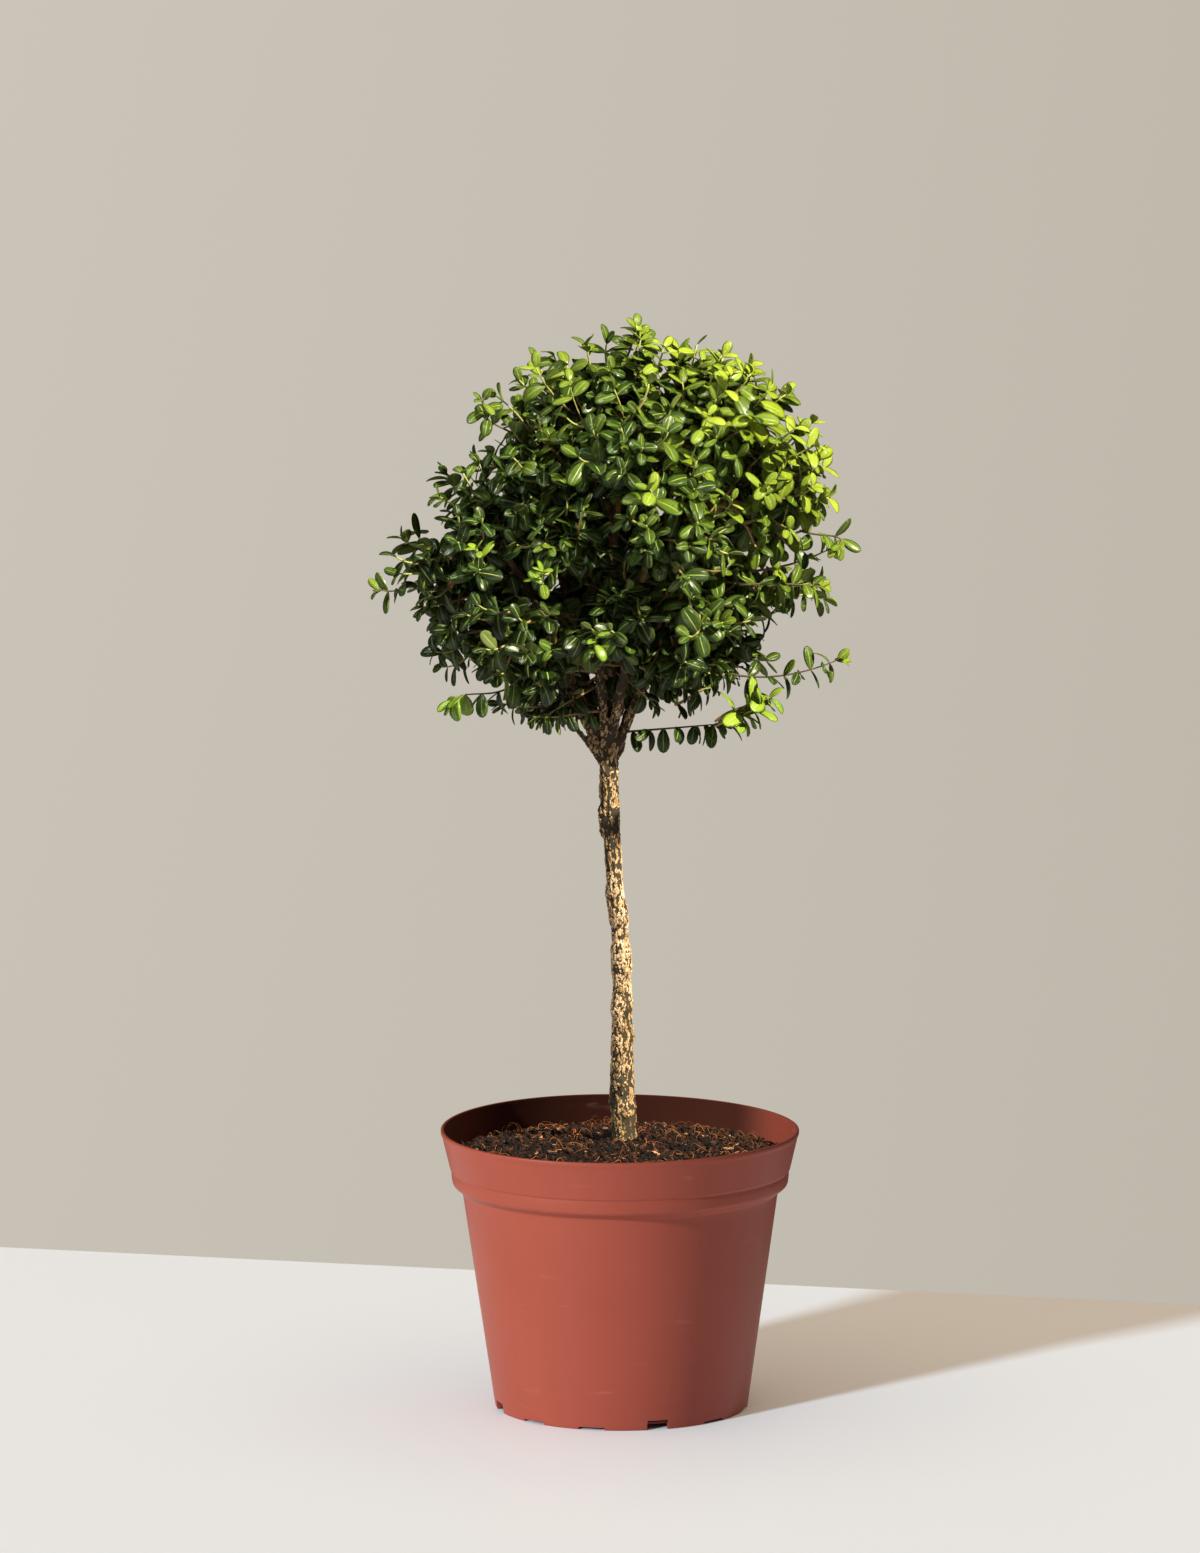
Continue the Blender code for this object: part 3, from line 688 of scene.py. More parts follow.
def scatter_chips(rng, places, material):
    """Splinters of bark: long thin boxes lying at small angles on the heap."""
    count = len(places)
    corners = np.array(list(itertools.product((-1, 1), (-1, 1), (-1, 1))), float)
    size = np.stack([rng.uniform(1.5, 4.5, count), rng.uniform(0.5, 1.3, count), rng.uniform(0.2, 0.5, count)], -1)
    heading = rng.uniform(0, math.tau, count)
    tilt = rng.normal(0, 0.28, count)
    ahead = np.stack([np.cos(heading) * np.cos(tilt), np.sin(heading) * np.cos(tilt), np.sin(tilt)], -1)
    side = unit(np.cross(UP, ahead) + rng.normal(0, 0.2, (count, 3)))
    axes = np.stack([ahead, side, np.cross(ahead, side)], 1)
    local = corners[None] * size[:, None] * MM * rng.uniform(0.7, 1.15, (count, 8, 1))
    points = np.einsum("nki,nij->nkj", local, axes) + (places + UP * 0.5 * MM)[:, None]
    quads = np.array([[0, 1, 3, 2], [4, 6, 7, 5], [0, 4, 5, 1], [2, 3, 7, 6], [0, 2, 6, 4], [1, 5, 7, 3]])
    mesh = new_mesh("soil_bark_chips", points.reshape(-1, 3), repeated(quads, count, 8), None, True)
    attach(mesh, "tone", np.repeat(rng.random(count) ** 1.5, 8))
    outwards(mesh)
    piece("soil_bark_chips", mesh, material, "soil")


def scatter_fibres(rng, places, material):
    """Thin peat fibres: cubic curves that start and end in the soil and lift a little between."""
    count = len(places)
    heading = rng.uniform(0, math.tau, count)
    reach = rng.uniform(3, 12, count)[:, None] * MM
    flat = np.stack([np.cos(heading), np.sin(heading), np.zeros(count)], -1) * reach
    lift = UP * reach * rng.uniform(0.05, 0.45, count)[:, None]
    swerve = rng.normal(0, 0.3, (count, 2, 3)) * reach[:, None]
    start = places - flat * 0.5 - UP * 0.3 * MM
    end = places + flat * 0.5 + UP * rng.uniform(-0.5, 2.0, count)[:, None] * MM
    corners = np.stack([start, start + flat * 0.3 + lift + swerve[:, 0], end - flat * 0.3 + lift + swerve[:, 1], end], 1)
    inside = np.hypot(corners[..., 0], corners[..., 1]).max(1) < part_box("potting_soil")[1][0] * 0.98
    paths = curve_points(corners[inside], np.linspace(0, 1, 8))
    radii = np.linspace(0.19, 0.08, 8) * MM * rng.uniform(0.6, 1.4, len(paths))[:, None]
    points, quads, caps = tubes(paths, radii, 4)
    mesh = new_mesh("soil_fibres", points, quads, caps)
    attach(mesh, "tone", np.repeat(rng.random(len(paths)) ** 1.6, 8 * 4 + 2))
    outwards(mesh)
    piece("soil_fibres", mesh, material, "soil")


# ---------------------------------------------------------------- trunk
FINE_BARK_TOP = 0.075  # how far above the fork the bark is fine


def wood_copy(name):
    """The CAD wood, merged into one surface."""
    triangles = cad_triangles("trunk_and_limbs")
    work = bmesh.new()
    corners = triangles.reshape(-1, 3)
    made = [work.verts.new(spot) for spot in corners]
    for k in range(0, len(made), 3):
        work.faces.new(made[k:k + 3])
    bmesh.ops.remove_doubles(work, verts=work.verts, dist=1e-5)
    mesh = bpy.data.meshes.new(name)
    return work, mesh


def cut_at(work, height, keep_below):
    """Cuts a closed mesh at a height, keeps one side and closes it."""
    cut = bmesh.ops.bisect_plane(
        work, geom=work.verts[:] + work.edges[:] + work.faces[:], dist=1e-7,
        plane_co=(0, 0, height), plane_no=(0, 0, 1), clear_outer=keep_below, clear_inner=not keep_below)
    rim = [item for item in cut["geom_cut"] if isinstance(item, bmesh.types.BMEdge)]
    bmesh.ops.holes_fill(work, edges=rim)


def finish_wood(work, mesh):
    bmesh.ops.recalc_face_normals(work, faces=work.faces)
    work.to_mesh(mesh)
    work.free()
    return mesh


def bark_relief(points, fork):
    """How far the bark stands out, how much of a plate it is, and its tint.

    Plates are small cells, stretched along the stem and warped, with cracks where two cells are as
    near. A cell is bare where its random number passes the cover, which is most in the middle of the
    stem. Wider cells tint patches of them. Knots are round swellings, and slow noises make the stem
    uneven.
    """
    warp = np.stack([noise(points * 260, 60 + k) for k in range(3)], -1) * 0.5
    warp = warp + np.stack([noise(points * 800, 64 + k) for k in range(3)], -1) * 0.3
    _, _, wide = plates(points * np.array([1, 1, 0.42]) / (4.2 * MM) + warp * 0.7, 70)
    _, split, fine = plates(points * np.array([1, 1, 0.40]) / (1.35 * MM) + warp, 80)
    height = points[:, 2]
    top = step(fork - 0.100, fork - 0.055, height)
    middle = step(0.165, 0.245, height) * (1 - top)
    cover = 0.38 + 0.37 * middle + 0.10 * top + 0.30 * (wide - 0.5) + 0.16 * noise(points * 110, 90)
    shown = step(-0.07, 0.07, cover - fine)
    plate = shown * step(0.03, 0.22, split)
    tint = 0.01 + 0.12 * top + 0.30 * wide + 0.30 * cell_value(np.floor(fine * 997)[:, None] * np.ones(3), 5) + 0.26 * middle
    slow = noise(points * np.array([60, 60, 42]), 91) * 0.6 + noise(points * 150, 92) * 0.4
    knots = step(0.35, 0.75, noise(points * np.array([85, 85, 80]), 93)) * 1.9
    knots = knots + step(0.25, 0.70, noise(points * np.array([25, 25, 66]), 96)) * 1.1
    out = (slow + knots + plate * 0.45 + shown * 0.15 + wide * 0.35 + 0.14 * noise(points * 900, 94)) * MM
    return out - 0.80 * MM, plate, tint


def add_side_limbs(work):
    """Two thin limbs that leave the stem's left side just below the fork, as tubes along cubic curves."""
    corners = np.array([
        [(-0.0040, -0.002, 0.374), (-0.0070, -0.004, 0.389), (-0.0185, -0.008, 0.408), (-0.0460, -0.014, 0.437)],
        [(-0.0060, -0.003, 0.388), (-0.0110, -0.005, 0.399), (-0.0190, -0.009, 0.414), (-0.0330, -0.016, 0.440)],
    ])
    paths = curve_points(corners, np.linspace(0, 1, 24))
    points, quads, caps = tubes(paths, np.linspace(2.7, 1.5, 24)[None] * MM * np.array([[1.0], [1.05]]), 14)
    made = [work.verts.new(spot) for spot in points]
    for face in quads.tolist() + caps.tolist():
        work.faces.new([made[k] for k in face])


def make_trunk(material):
    """Bark on the CAD wood: remeshed finely up to the limbs' start and pushed out by the relief."""
    low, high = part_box("trunk_and_limbs")
    fork = trunk_top()
    work, mesh = wood_copy("trunk_bark")
    cut_at(work, fork + FINE_BARK_TOP, keep_below=True)
    cut_at(work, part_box("potting_soil")[1][2] - 14 * MM, keep_below=False)
    add_side_limbs(work)
    finish_wood(work, mesh)
    trunk = piece("trunk_bark", mesh, material, "bark", "trunk_and_limbs")
    remesh = trunk.modifiers.new("even", "REMESH")
    remesh.mode = "VOXEL"
    remesh.voxel_size = 0.62 * MM
    soften = trunk.modifiers.new("soften", "SMOOTH")
    soften.factor = 0.5
    soften.iterations = 14
    apply_all(trunk)
    mesh = trunk.data
    points, normals = points_and_normals(mesh)
    out, plate, tint = bark_relief(points, fork)
    above = step(fork - 0.012, fork + 0.03, points[:, 2])
    out = out * (1 - 0.6 * above)
    tint = tint * (1 - 0.45 * above) + noise(points * 40, 95) * 0.12
    mesh.vertices.foreach_set("co", (points + normals * out[:, None]).astype(np.float32).ravel())
    mesh.update()
    attach(mesh, "plate", plate * (1 - 0.45 * above))
    attach(mesh, "tint", tint)
    mesh.polygons.foreach_set("use_smooth", np.ones(len(mesh.polygons), bool))

    work, mesh = wood_copy("upper_limbs")
    cut_at(work, fork + FINE_BARK_TOP - 1.5 * MM, keep_below=False)
    finish_wood(work, mesh)
    attach(mesh, "plate", np.full(len(mesh.vertices), 0.5))
    attach(mesh, "tint", np.full(len(mesh.vertices), 0.25))
    mesh.polygons.foreach_set("use_smooth", np.ones(len(mesh.polygons), bool))
    piece("upper_limbs", mesh, material, "bark")


def trunk_top():
    """Height of the fork: the lowest height at which the CAD wood is much wider than the stem."""
    wood = cad_triangles("trunk_and_limbs").reshape(-1, 3)
    heights = np.arange(wood[:, 2].min() + 0.1, wood[:, 2].max() - 0.1, 4 * MM)
    for height in heights:
        near = wood[np.abs(wood[:, 2] - height) < 6 * MM]
        if len(near) and np.ptp(near[:, 0]) > 22 * MM:
            return float(height) - 8 * MM
    return float(heights[-1])


# ---------------------------------------------------------------- leaves
LEAF_STATIONS = np.array([0.07, 0.22, 0.42, 0.62, 0.80, 0.93])
LEAF_COLUMNS = np.array([-1.0, -0.5, 0.0, 0.5, 1.0])
LEAF_POINTS = 2 + 6 * 5 + 6 * 3


def leaf_faces():
    """Corner numbers of one leaf: a point at each end, the upper grid, and the inner columns below."""
    stations, columns = len(LEAF_STATIONS), len(LEAF_COLUMNS)
    upper = 2 + np.arange(stations * columns).reshape(stations, columns)
    inner = 2 + stations * columns + np.arange(stations * (columns - 2)).reshape(stations, columns - 2)
    lower = np.concatenate([upper[:, :1], inner, upper[:, -1:]], 1)

    def quads(sheet):
        return np.stack([sheet[:-1, :-1], sheet[1:, :-1], sheet[1:, 1:], sheet[:-1, 1:]], -1).reshape(-1, 4)

    def fans(sheet):
        base = np.stack([np.zeros(columns - 1, int), sheet[0, :-1], sheet[0, 1:]], -1)
        tip = np.stack([np.ones(columns - 1, int), sheet[-1, 1:], sheet[-1, :-1]], -1)
        return np.concatenate([base, tip])

    all_quads = np.concatenate([quads(upper), quads(lower)[:, ::-1]])
    all_fans = np.concatenate([fans(upper), fans(lower)[:, ::-1]])
    under_quads = np.repeat([0.0, 1.0], (stations - 1) * (columns - 1))
    under_fans = np.repeat([0.0, 1.0], 2 * (columns - 1))
    return all_quads, all_fans, under_quads, under_fans


def leaf_points(base, ahead, normal, length, width, bend, cup, fold):
    """Points of many leaves at once, as (leaves, LEAF_POINTS, 3).

    Half the width at share u is u**0.7 * (1 - u)**0.55, scaled to 1 at its widest. The blade bends down
    along a circular arc. Its halves rise from the midrib by fold, and its edges roll down with the
    fourth power of the distance from it, by cup. The underside is below by the leaf's thickness.
    """
    u = np.concatenate([[0.0, 1.0], np.repeat(LEAF_STATIONS, 5), np.repeat(LEAF_STATIONS, 3)])
    v = np.concatenate([[0.0, 0.0], np.tile(LEAF_COLUMNS, 6), np.tile(LEAF_COLUMNS[1:-1], 6)])
    below = np.concatenate([np.zeros(32), np.ones(18)])
    half = u**0.7 * (1 - u) ** 0.55 / 0.424
    bend = bend[:, None]
    arc = length[:, None] / bend
    reach = arc * np.sin(bend * u)
    drop = arc * (1 - np.cos(bend * u))
    side = half * v * width[:, None] / 2
    fall = (cup[:, None] * v**4 - fold[:, None] * np.abs(v)) * width[:, None] * half
    thick = 0.45 * MM * (1 - v**2) * below
    lift = -drop - fall - thick
    across = np.cross(normal, ahead)
    return (
        base[:, None] + ahead[:, None] * reach[..., None]
        + across[:, None] * side[..., None] + normal[:, None] * lift[..., None]
    )


def leaf_mesh(name, leaves):
    """One mesh of many leaves. leaves holds an array for each of leaf_points's arguments, tone and age."""
    shape = [leaves[key] for key in ("base", "ahead", "normal", "length", "width", "bend", "cup", "fold")]
    points = leaf_points(*shape)
    count = len(points)
    quads, fans, under_quads, under_fans = leaf_faces()
    mesh = new_mesh(
        name, points.reshape(-1, 3), repeated(quads, count, LEAF_POINTS), repeated(fans, count, LEAF_POINTS))
    u = np.concatenate([[0.0, 1.0], np.repeat(LEAF_STATIONS, 5), np.repeat(LEAF_STATIONS, 3)])
    v = np.concatenate([[0.0, 0.0], np.tile(LEAF_COLUMNS, 6), np.tile(LEAF_COLUMNS[1:-1], 6)])
    attach_uv(mesh, "leaf", np.tile(np.stack([u, v / 2 + 0.5], -1), (count, 1)))
    attach(mesh, "tone", np.repeat(leaves["tone"], LEAF_POINTS))
    attach(mesh, "age", np.repeat(leaves["age"], LEAF_POINTS))
    under = np.concatenate([np.tile(under_quads, count), np.tile(under_fans, count)])
    attach(mesh, "under", under, "FACE")
    return mesh


def grow_leaves(rng, corners, outward, leafy, young, size, hang, missing=0.08):
    """Leaves on many twigs, in opposite pairs that turn a quarter from one to the next.

    corners are the twigs' cubic curves, outward their way out of the crown, leafy how many metres of
    each bears leaves, young how fresh each is, size a factor on its leaves, hang how far they hang, and
    missing the share of leaves lost. Pairs stand closer at the tip, where leaves are small, upright and bright. Blades turn
    to face up and out, and in the upper half a little to the front and the right.
    """
    count = len(corners)
    chord = np.linalg.norm(np.diff(curve_points(corners, np.linspace(0, 1, 12)), axis=1), axis=-1).sum(1)
    gaps = np.array([0.8, 4.2, 7.2, 9.2, 10.0, 10.4, 10.6] + [11.0] * 6) * MM
    from_tip = np.cumsum(gaps)[None] * size[:, None] * rng.uniform(0.88, 1.15, (count, 1))
    from_tip = from_tip + rng.normal(0, 0.5 * MM, from_tip.shape).clip(-0.5 * MM, 1 * MM)
    share = 1 - from_tip / chord[:, None]
    spots = curve_points(corners, np.clip(share, 0, 1))
    ahead = unit(spots - curve_points(corners, np.clip(share, 0, 1) - 0.03))
    turn = rng.uniform(0, math.pi, count)[:, None] + np.arange(len(gaps)) * math.pi / 2
    turn = turn + rng.normal(0, 0.16, turn.shape)
    first = unit(np.cross(ahead, UP + 0.01))
    second = np.cross(ahead, first)
    pair_axis = first * np.cos(turn)[..., None] + second * np.sin(turn)[..., None]
    old = step(-3 * MM, 10 * MM, from_tip)
    sunward = np.array([0.30, -0.45, 0.0]) * step(-0.02, 0.06, spots[..., 2:] - crown_centre[2])
    found = {key: [] for key in ("base", "ahead", "normal", "length", "width", "bend", "cup", "fold", "tone", "age")}
    for sign in (1.0, -1.0):
        spread = np.radians(blend(26, 60, old) + rng.normal(0, 10, old.shape))
        way = ahead * np.cos(spread)[..., None] + pair_axis * (sign * np.sin(spread))[..., None]
        way = unit(way + rng.normal(0, 0.14, way.shape) - UP * (0.14 * old + hang[:, None] * old)[..., None])
        wanted = (
            UP * 0.70 + sunward + outward[:, None] * 0.30 + ahead * (0.75 - 0.35 * old)[..., None]
            + rng.normal(0, 0.33, way.shape)
        )
        normal = unit(wanted - way * np.sum(wanted * way, -1, keepdims=True))
        keep = (from_tip < leafy[:, None]) & (share > 0.04) & (rng.random(old.shape) > missing)
        length = blend(9.0, 17.6, old) * size[:, None] * rng.uniform(0.80, 1.10, old.shape) * MM
        age = young[:, None] * (1 - 0.75 * step(4 * MM, 26 * MM, from_tip)) + rng.normal(0, 0.05, old.shape)
        age = np.where(rng.random(old.shape) < 0.0012, -1.0, age)
        # Painted light: the tone rises with height and to the right, a little where the twig points up, and falls
        # slightly to the left.
        sunny = (spots[..., 2] - crown_centre[2]) * 2.5 + spots[..., 0] * 2.2 + np.abs(spots[..., 0]) * 1.8
        tone = 0.26 + sunny + 0.12 * outward[:, None, 2] + rng.normal(0, 0.16, old.shape)
        values = {
            "base": spots, "ahead": way, "normal": normal, "length": length,
            "width": length * rng.uniform(0.50, 0.64, old.shape), "bend": rng.uniform(0.25, 1.15, old.shape),
            "cup": rng.uniform(0.05, 0.20, old.shape), "fold": rng.uniform(0.02, 0.24, old.shape),
            "tone": np.clip(tone, 0, 1), "age": age,
        }
        for key, value in values.items():
            found[key].append(value[keep])
    return {key: np.concatenate(value) for key, value in found.items()}


# ---------------------------------------------------------------- crown
CROWN_SEED = 7
TIP_SPACING = 0.0190
INNER_SPACING = 0.0300
clump_names = sorted(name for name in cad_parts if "_clump_" in name)
clump_faces = {name: cad_triangles(name) for name in clump_names}
crown_points = np.concatenate([faces.reshape(-1, 3) for faces in clump_faces.values()])
crown_centre = (crown_points.min(0) + crown_points.max(0)) / 2


def clump_tree():
    """All clumps' surfaces as one search tree."""
    corners = np.concatenate(list(clump_faces.values())).reshape(-1, 3)
    triangles = np.arange(len(corners)).reshape(-1, 3)
    return BVHTree.FromPolygons(corners.tolist(), triangles.tolist())


def surface_samples(rng, faces, count):
    """Points spread evenly over triangles, with the triangles' normals."""
    edge_a, edge_b = faces[:, 1] - faces[:, 0], faces[:, 2] - faces[:, 0]
    crossed = np.cross(edge_a, edge_b)
    area = np.linalg.norm(crossed, axis=1)
    chosen = rng.choice(len(faces), count, p=area / area.sum())
    a, b = rng.random((2, count, 1))
    flip = a + b > 1
    a, b = np.where(flip, 1 - a, a), np.where(flip, 1 - b, b)
    return faces[chosen, 0] + a * edge_a[chosen] + b * edge_b[chosen], unit(crossed[chosen])


def outer_tips(rng, tree):
    """Evenly spaced points on the crown's outside: (clump number, point, normal)."""
    kept = []
    for number, name in enumerate(clump_names):
        spots, normals = surface_samples(rng, clump_faces[name], 900)
        outside = np.sum(normals * (spots - crown_centre), 1) > 0
        for spot, normal in zip(spots[outside], normals[outside]):
            hit = tree.ray_cast(Vector(spot + normal * 0.5 * MM), Vector(normal), 12 * MM)
            x, _, z = spot
            bare = (x < -0.066 and 0.588 < z < 0.612) or (x < -0.085 and z > 0.578)
            bare = bare or (x < -0.072 and z < 0.449) or (x > 0.086 and z < 0.478)
            bare = bare or (x < -0.105 and z > 0.530)
            bare = bare or (x > 0.112 and 0.522 < z < 0.546)
            if hit[0] is None and not bare:
                kept.append((number, spot, normal))
    order = rng.permutation(len(kept))
    chosen = np.zeros((0, 3))
    found = []
    for k in order:
        number, spot, normal = kept[k]
        if not len(chosen) or np.linalg.norm(chosen - spot, axis=1).min() > TIP_SPACING:
            chosen = np.vstack([chosen, spot])
            found.append((number, spot, normal))
    return found


def twig_corners(rng, roots, tips, normals, inset):
    """Cubic curves from the limbs' ends to the crown's outside.

    A twig leaves its root towards the tip, and at the tip it points out of the crown and up.
    """
    count = len(tips)
    level = np.stack([normals[:, 0], normals[:, 1], np.zeros(count)], -1)
    out = unit(normals * 0.62 + level * 0.30 + UP * 0.60 + rng.normal(0, 0.22, (count, 3)))
    ends = tips - normals * inset[:, None]
    far = np.linalg.norm(ends - roots, axis=1)[:, None]
    bow = rng.normal(0, 0.10, (count, 3)) * far
    return np.stack([roots, roots + (ends - roots) * 0.35 + bow, ends - out * far * 0.36, ends], 1)


def limb_ends():
    """For each clump, the point of the wood that lies deepest in it: nearest its middle."""
    wood = cad_triangles("trunk_and_limbs").reshape(-1, 3)
    found = []
    for name in clump_names:
        middle = clump_faces[name].reshape(-1, 3).mean(0)
        found.append(wood[np.linalg.norm(wood - middle, axis=1).argmin()])
    return np.array(found)


def make_crown(leaf, twig):
    """Each clump's twigs fan out from its limb's end by way of a few hubs, and bear the leaves."""
    rng = np.random.default_rng(CROWN_SEED)
    found = outer_tips(rng, clump_tree())
    owner = np.array([number for number, _, _ in found])
    tips = np.array([spot for _, spot, _ in found])
    normals = np.array([normal for _, _, normal in found])
    ends = limb_ends()
    roots = ends[owner]
    hubs = hub_of_each(rng, owner, tips, roots)
    inset = rng.uniform(-2, 10, len(tips)) * MM
    inset = np.where(rng.random(len(tips)) < 0.10, -7 * MM, inset)
    in_front = step(0.02, 0.06, -tips[:, 1])
    hollow = 1 - step(0.018, 0.050, np.linalg.norm(tips[:, [0, 2]] - [-0.004, 0.522], axis=1))
    inset = inset + 15 * MM * step(0.10, 0.45, noise(tips * 26, 41)) * in_front
    inset = inset + 20 * MM * hollow * in_front
    corners = twig_corners(rng, hubs, tips, normals, inset)
    # Partly painted light: freshness, which brightens the leaves, rises to the right and on tips that face up.
    fresh = np.clip(0.03 + 0.15 * normals[:, 2] + 2.0 * tips[:, 0] + rng.normal(0, 0.25, len(tips)), 0, 1)
    leafy = rng.uniform(44, 68, len(tips)) * MM
    size = rng.uniform(0.86, 1.08, len(tips))

    inner = rng.choice(len(tips), int(len(tips) * 0.55), replace=False)
    depth = rng.uniform(22, 40, len(inner)) * MM
    inner_corners = twig_corners(rng, hubs[inner] * 0.5 + roots[inner] * 0.5, tips[inner], normals[inner], depth)
    corners = np.concatenate([corners, inner_corners])
    owner = np.concatenate([owner, owner[inner]])
    outward = np.concatenate([normals, normals[inner]])
    fresh = np.concatenate([fresh, fresh[inner] * 0.3])
    leafy = np.concatenate([leafy, np.full(len(inner), 34 * MM)])
    size = np.concatenate([size, size[inner]])

    wood = cad_triangles("trunk_and_limbs").reshape(-1, 3)
    limbs = wood[wood[:, 2] > trunk_top() + 14 * MM]
    sprays = all_sprays(rng)
    back = np.where(sprays[:, 9] > 0.5, 0.028, 0.055)
    on_shoot = (sprays[:, 7] < 0.03) & (sprays[:, 2] < 0.455)
    back = np.where(on_shoot, 0.014, back)
    limbs = np.concatenate([limbs, cad_triangles("lowest_right_shoot").reshape(-1, 3)])
    extra = spray_corners(rng, sprays[:, :3], unit(sprays[:, 3:6]), back, limbs)
    middles = np.array([clump_faces[name].reshape(-1, 3).mean(0) for name in clump_names])
    nearest = np.linalg.norm(extra[:, 3, None] - middles[None], axis=-1).argmin(1)
    corners = np.concatenate([corners, extra])
    owner = np.concatenate([owner, nearest])
    outward = np.concatenate([outward, unit(extra[:, 3] - extra[:, 2])])
    fresh = np.concatenate([fresh, sprays[:, 6]])
    leafy = np.concatenate([leafy, sprays[:, 7]])
    size = np.concatenate([size, sprays[:, 8]])
    hang = np.concatenate([np.zeros(len(size) - len(extra)), sprays[:, 9]])

    for number, name in enumerate(clump_names):
        mine = owner == number
        leaves = grow_leaves(
            rng, corners[mine], outward[mine], leafy[mine], fresh[mine], size[mine], hang[mine])
        mesh = leaf_mesh(name + "_leaves", leaves)
        piece(name + "_leaves", mesh, leaf, "foliage", name)

    paths = curve_points(corners, np.linspace(0, 1, 12))
    radii = np.linspace(1.15, 0.50, 12)[None] * MM * rng.uniform(0.85, 1.15, len(paths))[:, None]
    radii = radii * np.where(leafy < 0.03, 0.6, 1.0)[:, None]
    age = np.linspace(0.0, 1.0, 12)[None] * np.ones((len(paths), 1))
    add_twigs("crown_twigs", paths, radii, age, twig)
    hub_list, which = np.unique(hubs.round(5), axis=0, return_index=True)
    starts = roots[which]
    middle = starts + (hub_list - starts) * 0.5 + rng.normal(0, 1.5 * MM, starts.shape)
    branch = np.stack([starts, middle, hub_list * 0.7 + middle * 0.3, hub_list], 1)
    paths = curve_points(branch, np.linspace(0, 1, 7))
    add_twigs("crown_branches", paths, np.linspace(1.9, 1.2, 7)[None] * MM * np.ones((len(paths), 1)),
              np.zeros((len(paths), 7)), twig)


def spray_corners(rng, tips, ways, back, wood):
    """Curves of single sprays: each starts at the wood nearest to a point this far back from its tip."""
    starts = np.array([wood[np.linalg.norm(wood - spot, axis=1).argmin()] for spot in tips - ways * back[:, None]])
    far = np.linalg.norm(tips - starts, axis=1)[:, None]
    bow = rng.normal(0, 0.05, tips.shape) * far
    return np.stack([starts, starts + (tips - starts) * 0.35 + bow, tips - ways * far * 0.38, tips], 1)


# Sprays that fill the crown's outline: tip, the way it points there, and how fresh it is.
# Their freshness is set higher towards the top and the right: partly painted light.
FILLING = [
    (-0.074, -0.030, 0.617, -0.9, -0.2, 0.65, 0.35),
    (-0.060, -0.010, 0.624, -0.7, -0.1, 0.8, 0.25),
    (-0.050, 0.014, 0.632, -0.5, 0.1, 0.9, 0.15),
    (-0.050, -0.034, 0.634, -0.4, -0.4, 0.9, 0.55),
    (-0.040, -0.008, 0.640, -0.3, 0.0, 1.0, 0.3),
    (-0.054, 0.040, 0.614, -0.6, 0.6, 0.6, 0.2),
    (-0.020, -0.020, 0.647, -0.1, -0.2, 1.0, 0.4),
    (-0.032, -0.030, 0.636, -0.2, -0.3, 1.0, 0.4),
    (0.124, -0.022, 0.524, 0.9, -0.2, 0.5, 0.6),
    (0.112, -0.014, 0.502, 0.9, -0.3, 0.1, 0.2),
    (0.118, -0.030, 0.506, 0.9, -0.2, 0.25, 0.5),
    (0.100, -0.042, 0.506, 0.7, -0.6, 0.2, 0.3),
    (0.122, 0.012, 0.490, 0.9, 0.1, -0.2, 0.1),
    (0.116, -0.034, 0.588, 0.9, -0.3, 0.5, 0.8),
    (0.114, 0.010, 0.596, 0.8, 0.1, 0.6, 0.6),
    (0.104, -0.050, 0.600, 0.7, -0.5, 0.6, 0.8),
    (0.096, -0.020, 0.618, 0.6, -0.2, 0.8, 0.7),
    (0.122, -0.010, 0.572, 1.0, -0.1, 0.4, 0.6),
    (0.124, -0.030, 0.556, 1.0, -0.2, 0.2, 0.7),
    (0.012, -0.020, 0.649, 0.1, -0.1, 1.0, 0.6),
    (0.026, -0.030, 0.647, 0.2, -0.2, 1.0, 0.8),
    (0.046, -0.010, 0.646, 0.3, 0.0, 1.0, 0.6),
    (0.060, -0.026, 0.640, 0.4, -0.1, 1.0, 0.9),
    (0.076, -0.010, 0.632, 0.5, 0.0, 1.0, 0.7),
    (-0.108, -0.024, 0.556, -0.9, -0.2, 0.4, 0.3),
    (-0.103, 0.002, 0.566, -0.7, 0.0, 0.7, 0.2),
    (-0.094, -0.034, 0.572, -0.5, -0.3, 0.8, 0.4),
    (-0.084, -0.010, 0.574, -0.4, -0.1, 0.9, 0.2),
    (-0.116, -0.030, 0.526, -0.9, -0.3, 0.4, 0.3),
    (-0.126, -0.004, 0.512, -1.0, 0.0, 0.2, 0.2),
    (-0.132, -0.026, 0.510, -1.0, -0.3, 0.1, 0.3),
    (-0.126, 0.010, 0.500, -1.0, 0.1, -0.1, 0.1),
    (-0.118, -0.036, 0.491, -0.9, -0.5, 0.0, 0.2),
    (-0.104, -0.020, 0.470, -0.8, -0.3, -0.2, 0.1),
    (-0.098, 0.004, 0.464, -0.8, 0.2, -0.3, 0.1),
    (0.074, 0.004, 0.450, 0.9, 0.1, 0.0, 0.2),
    (0.088, -0.004, 0.455, 0.9, 0.0, 0.0, 0.3),
]
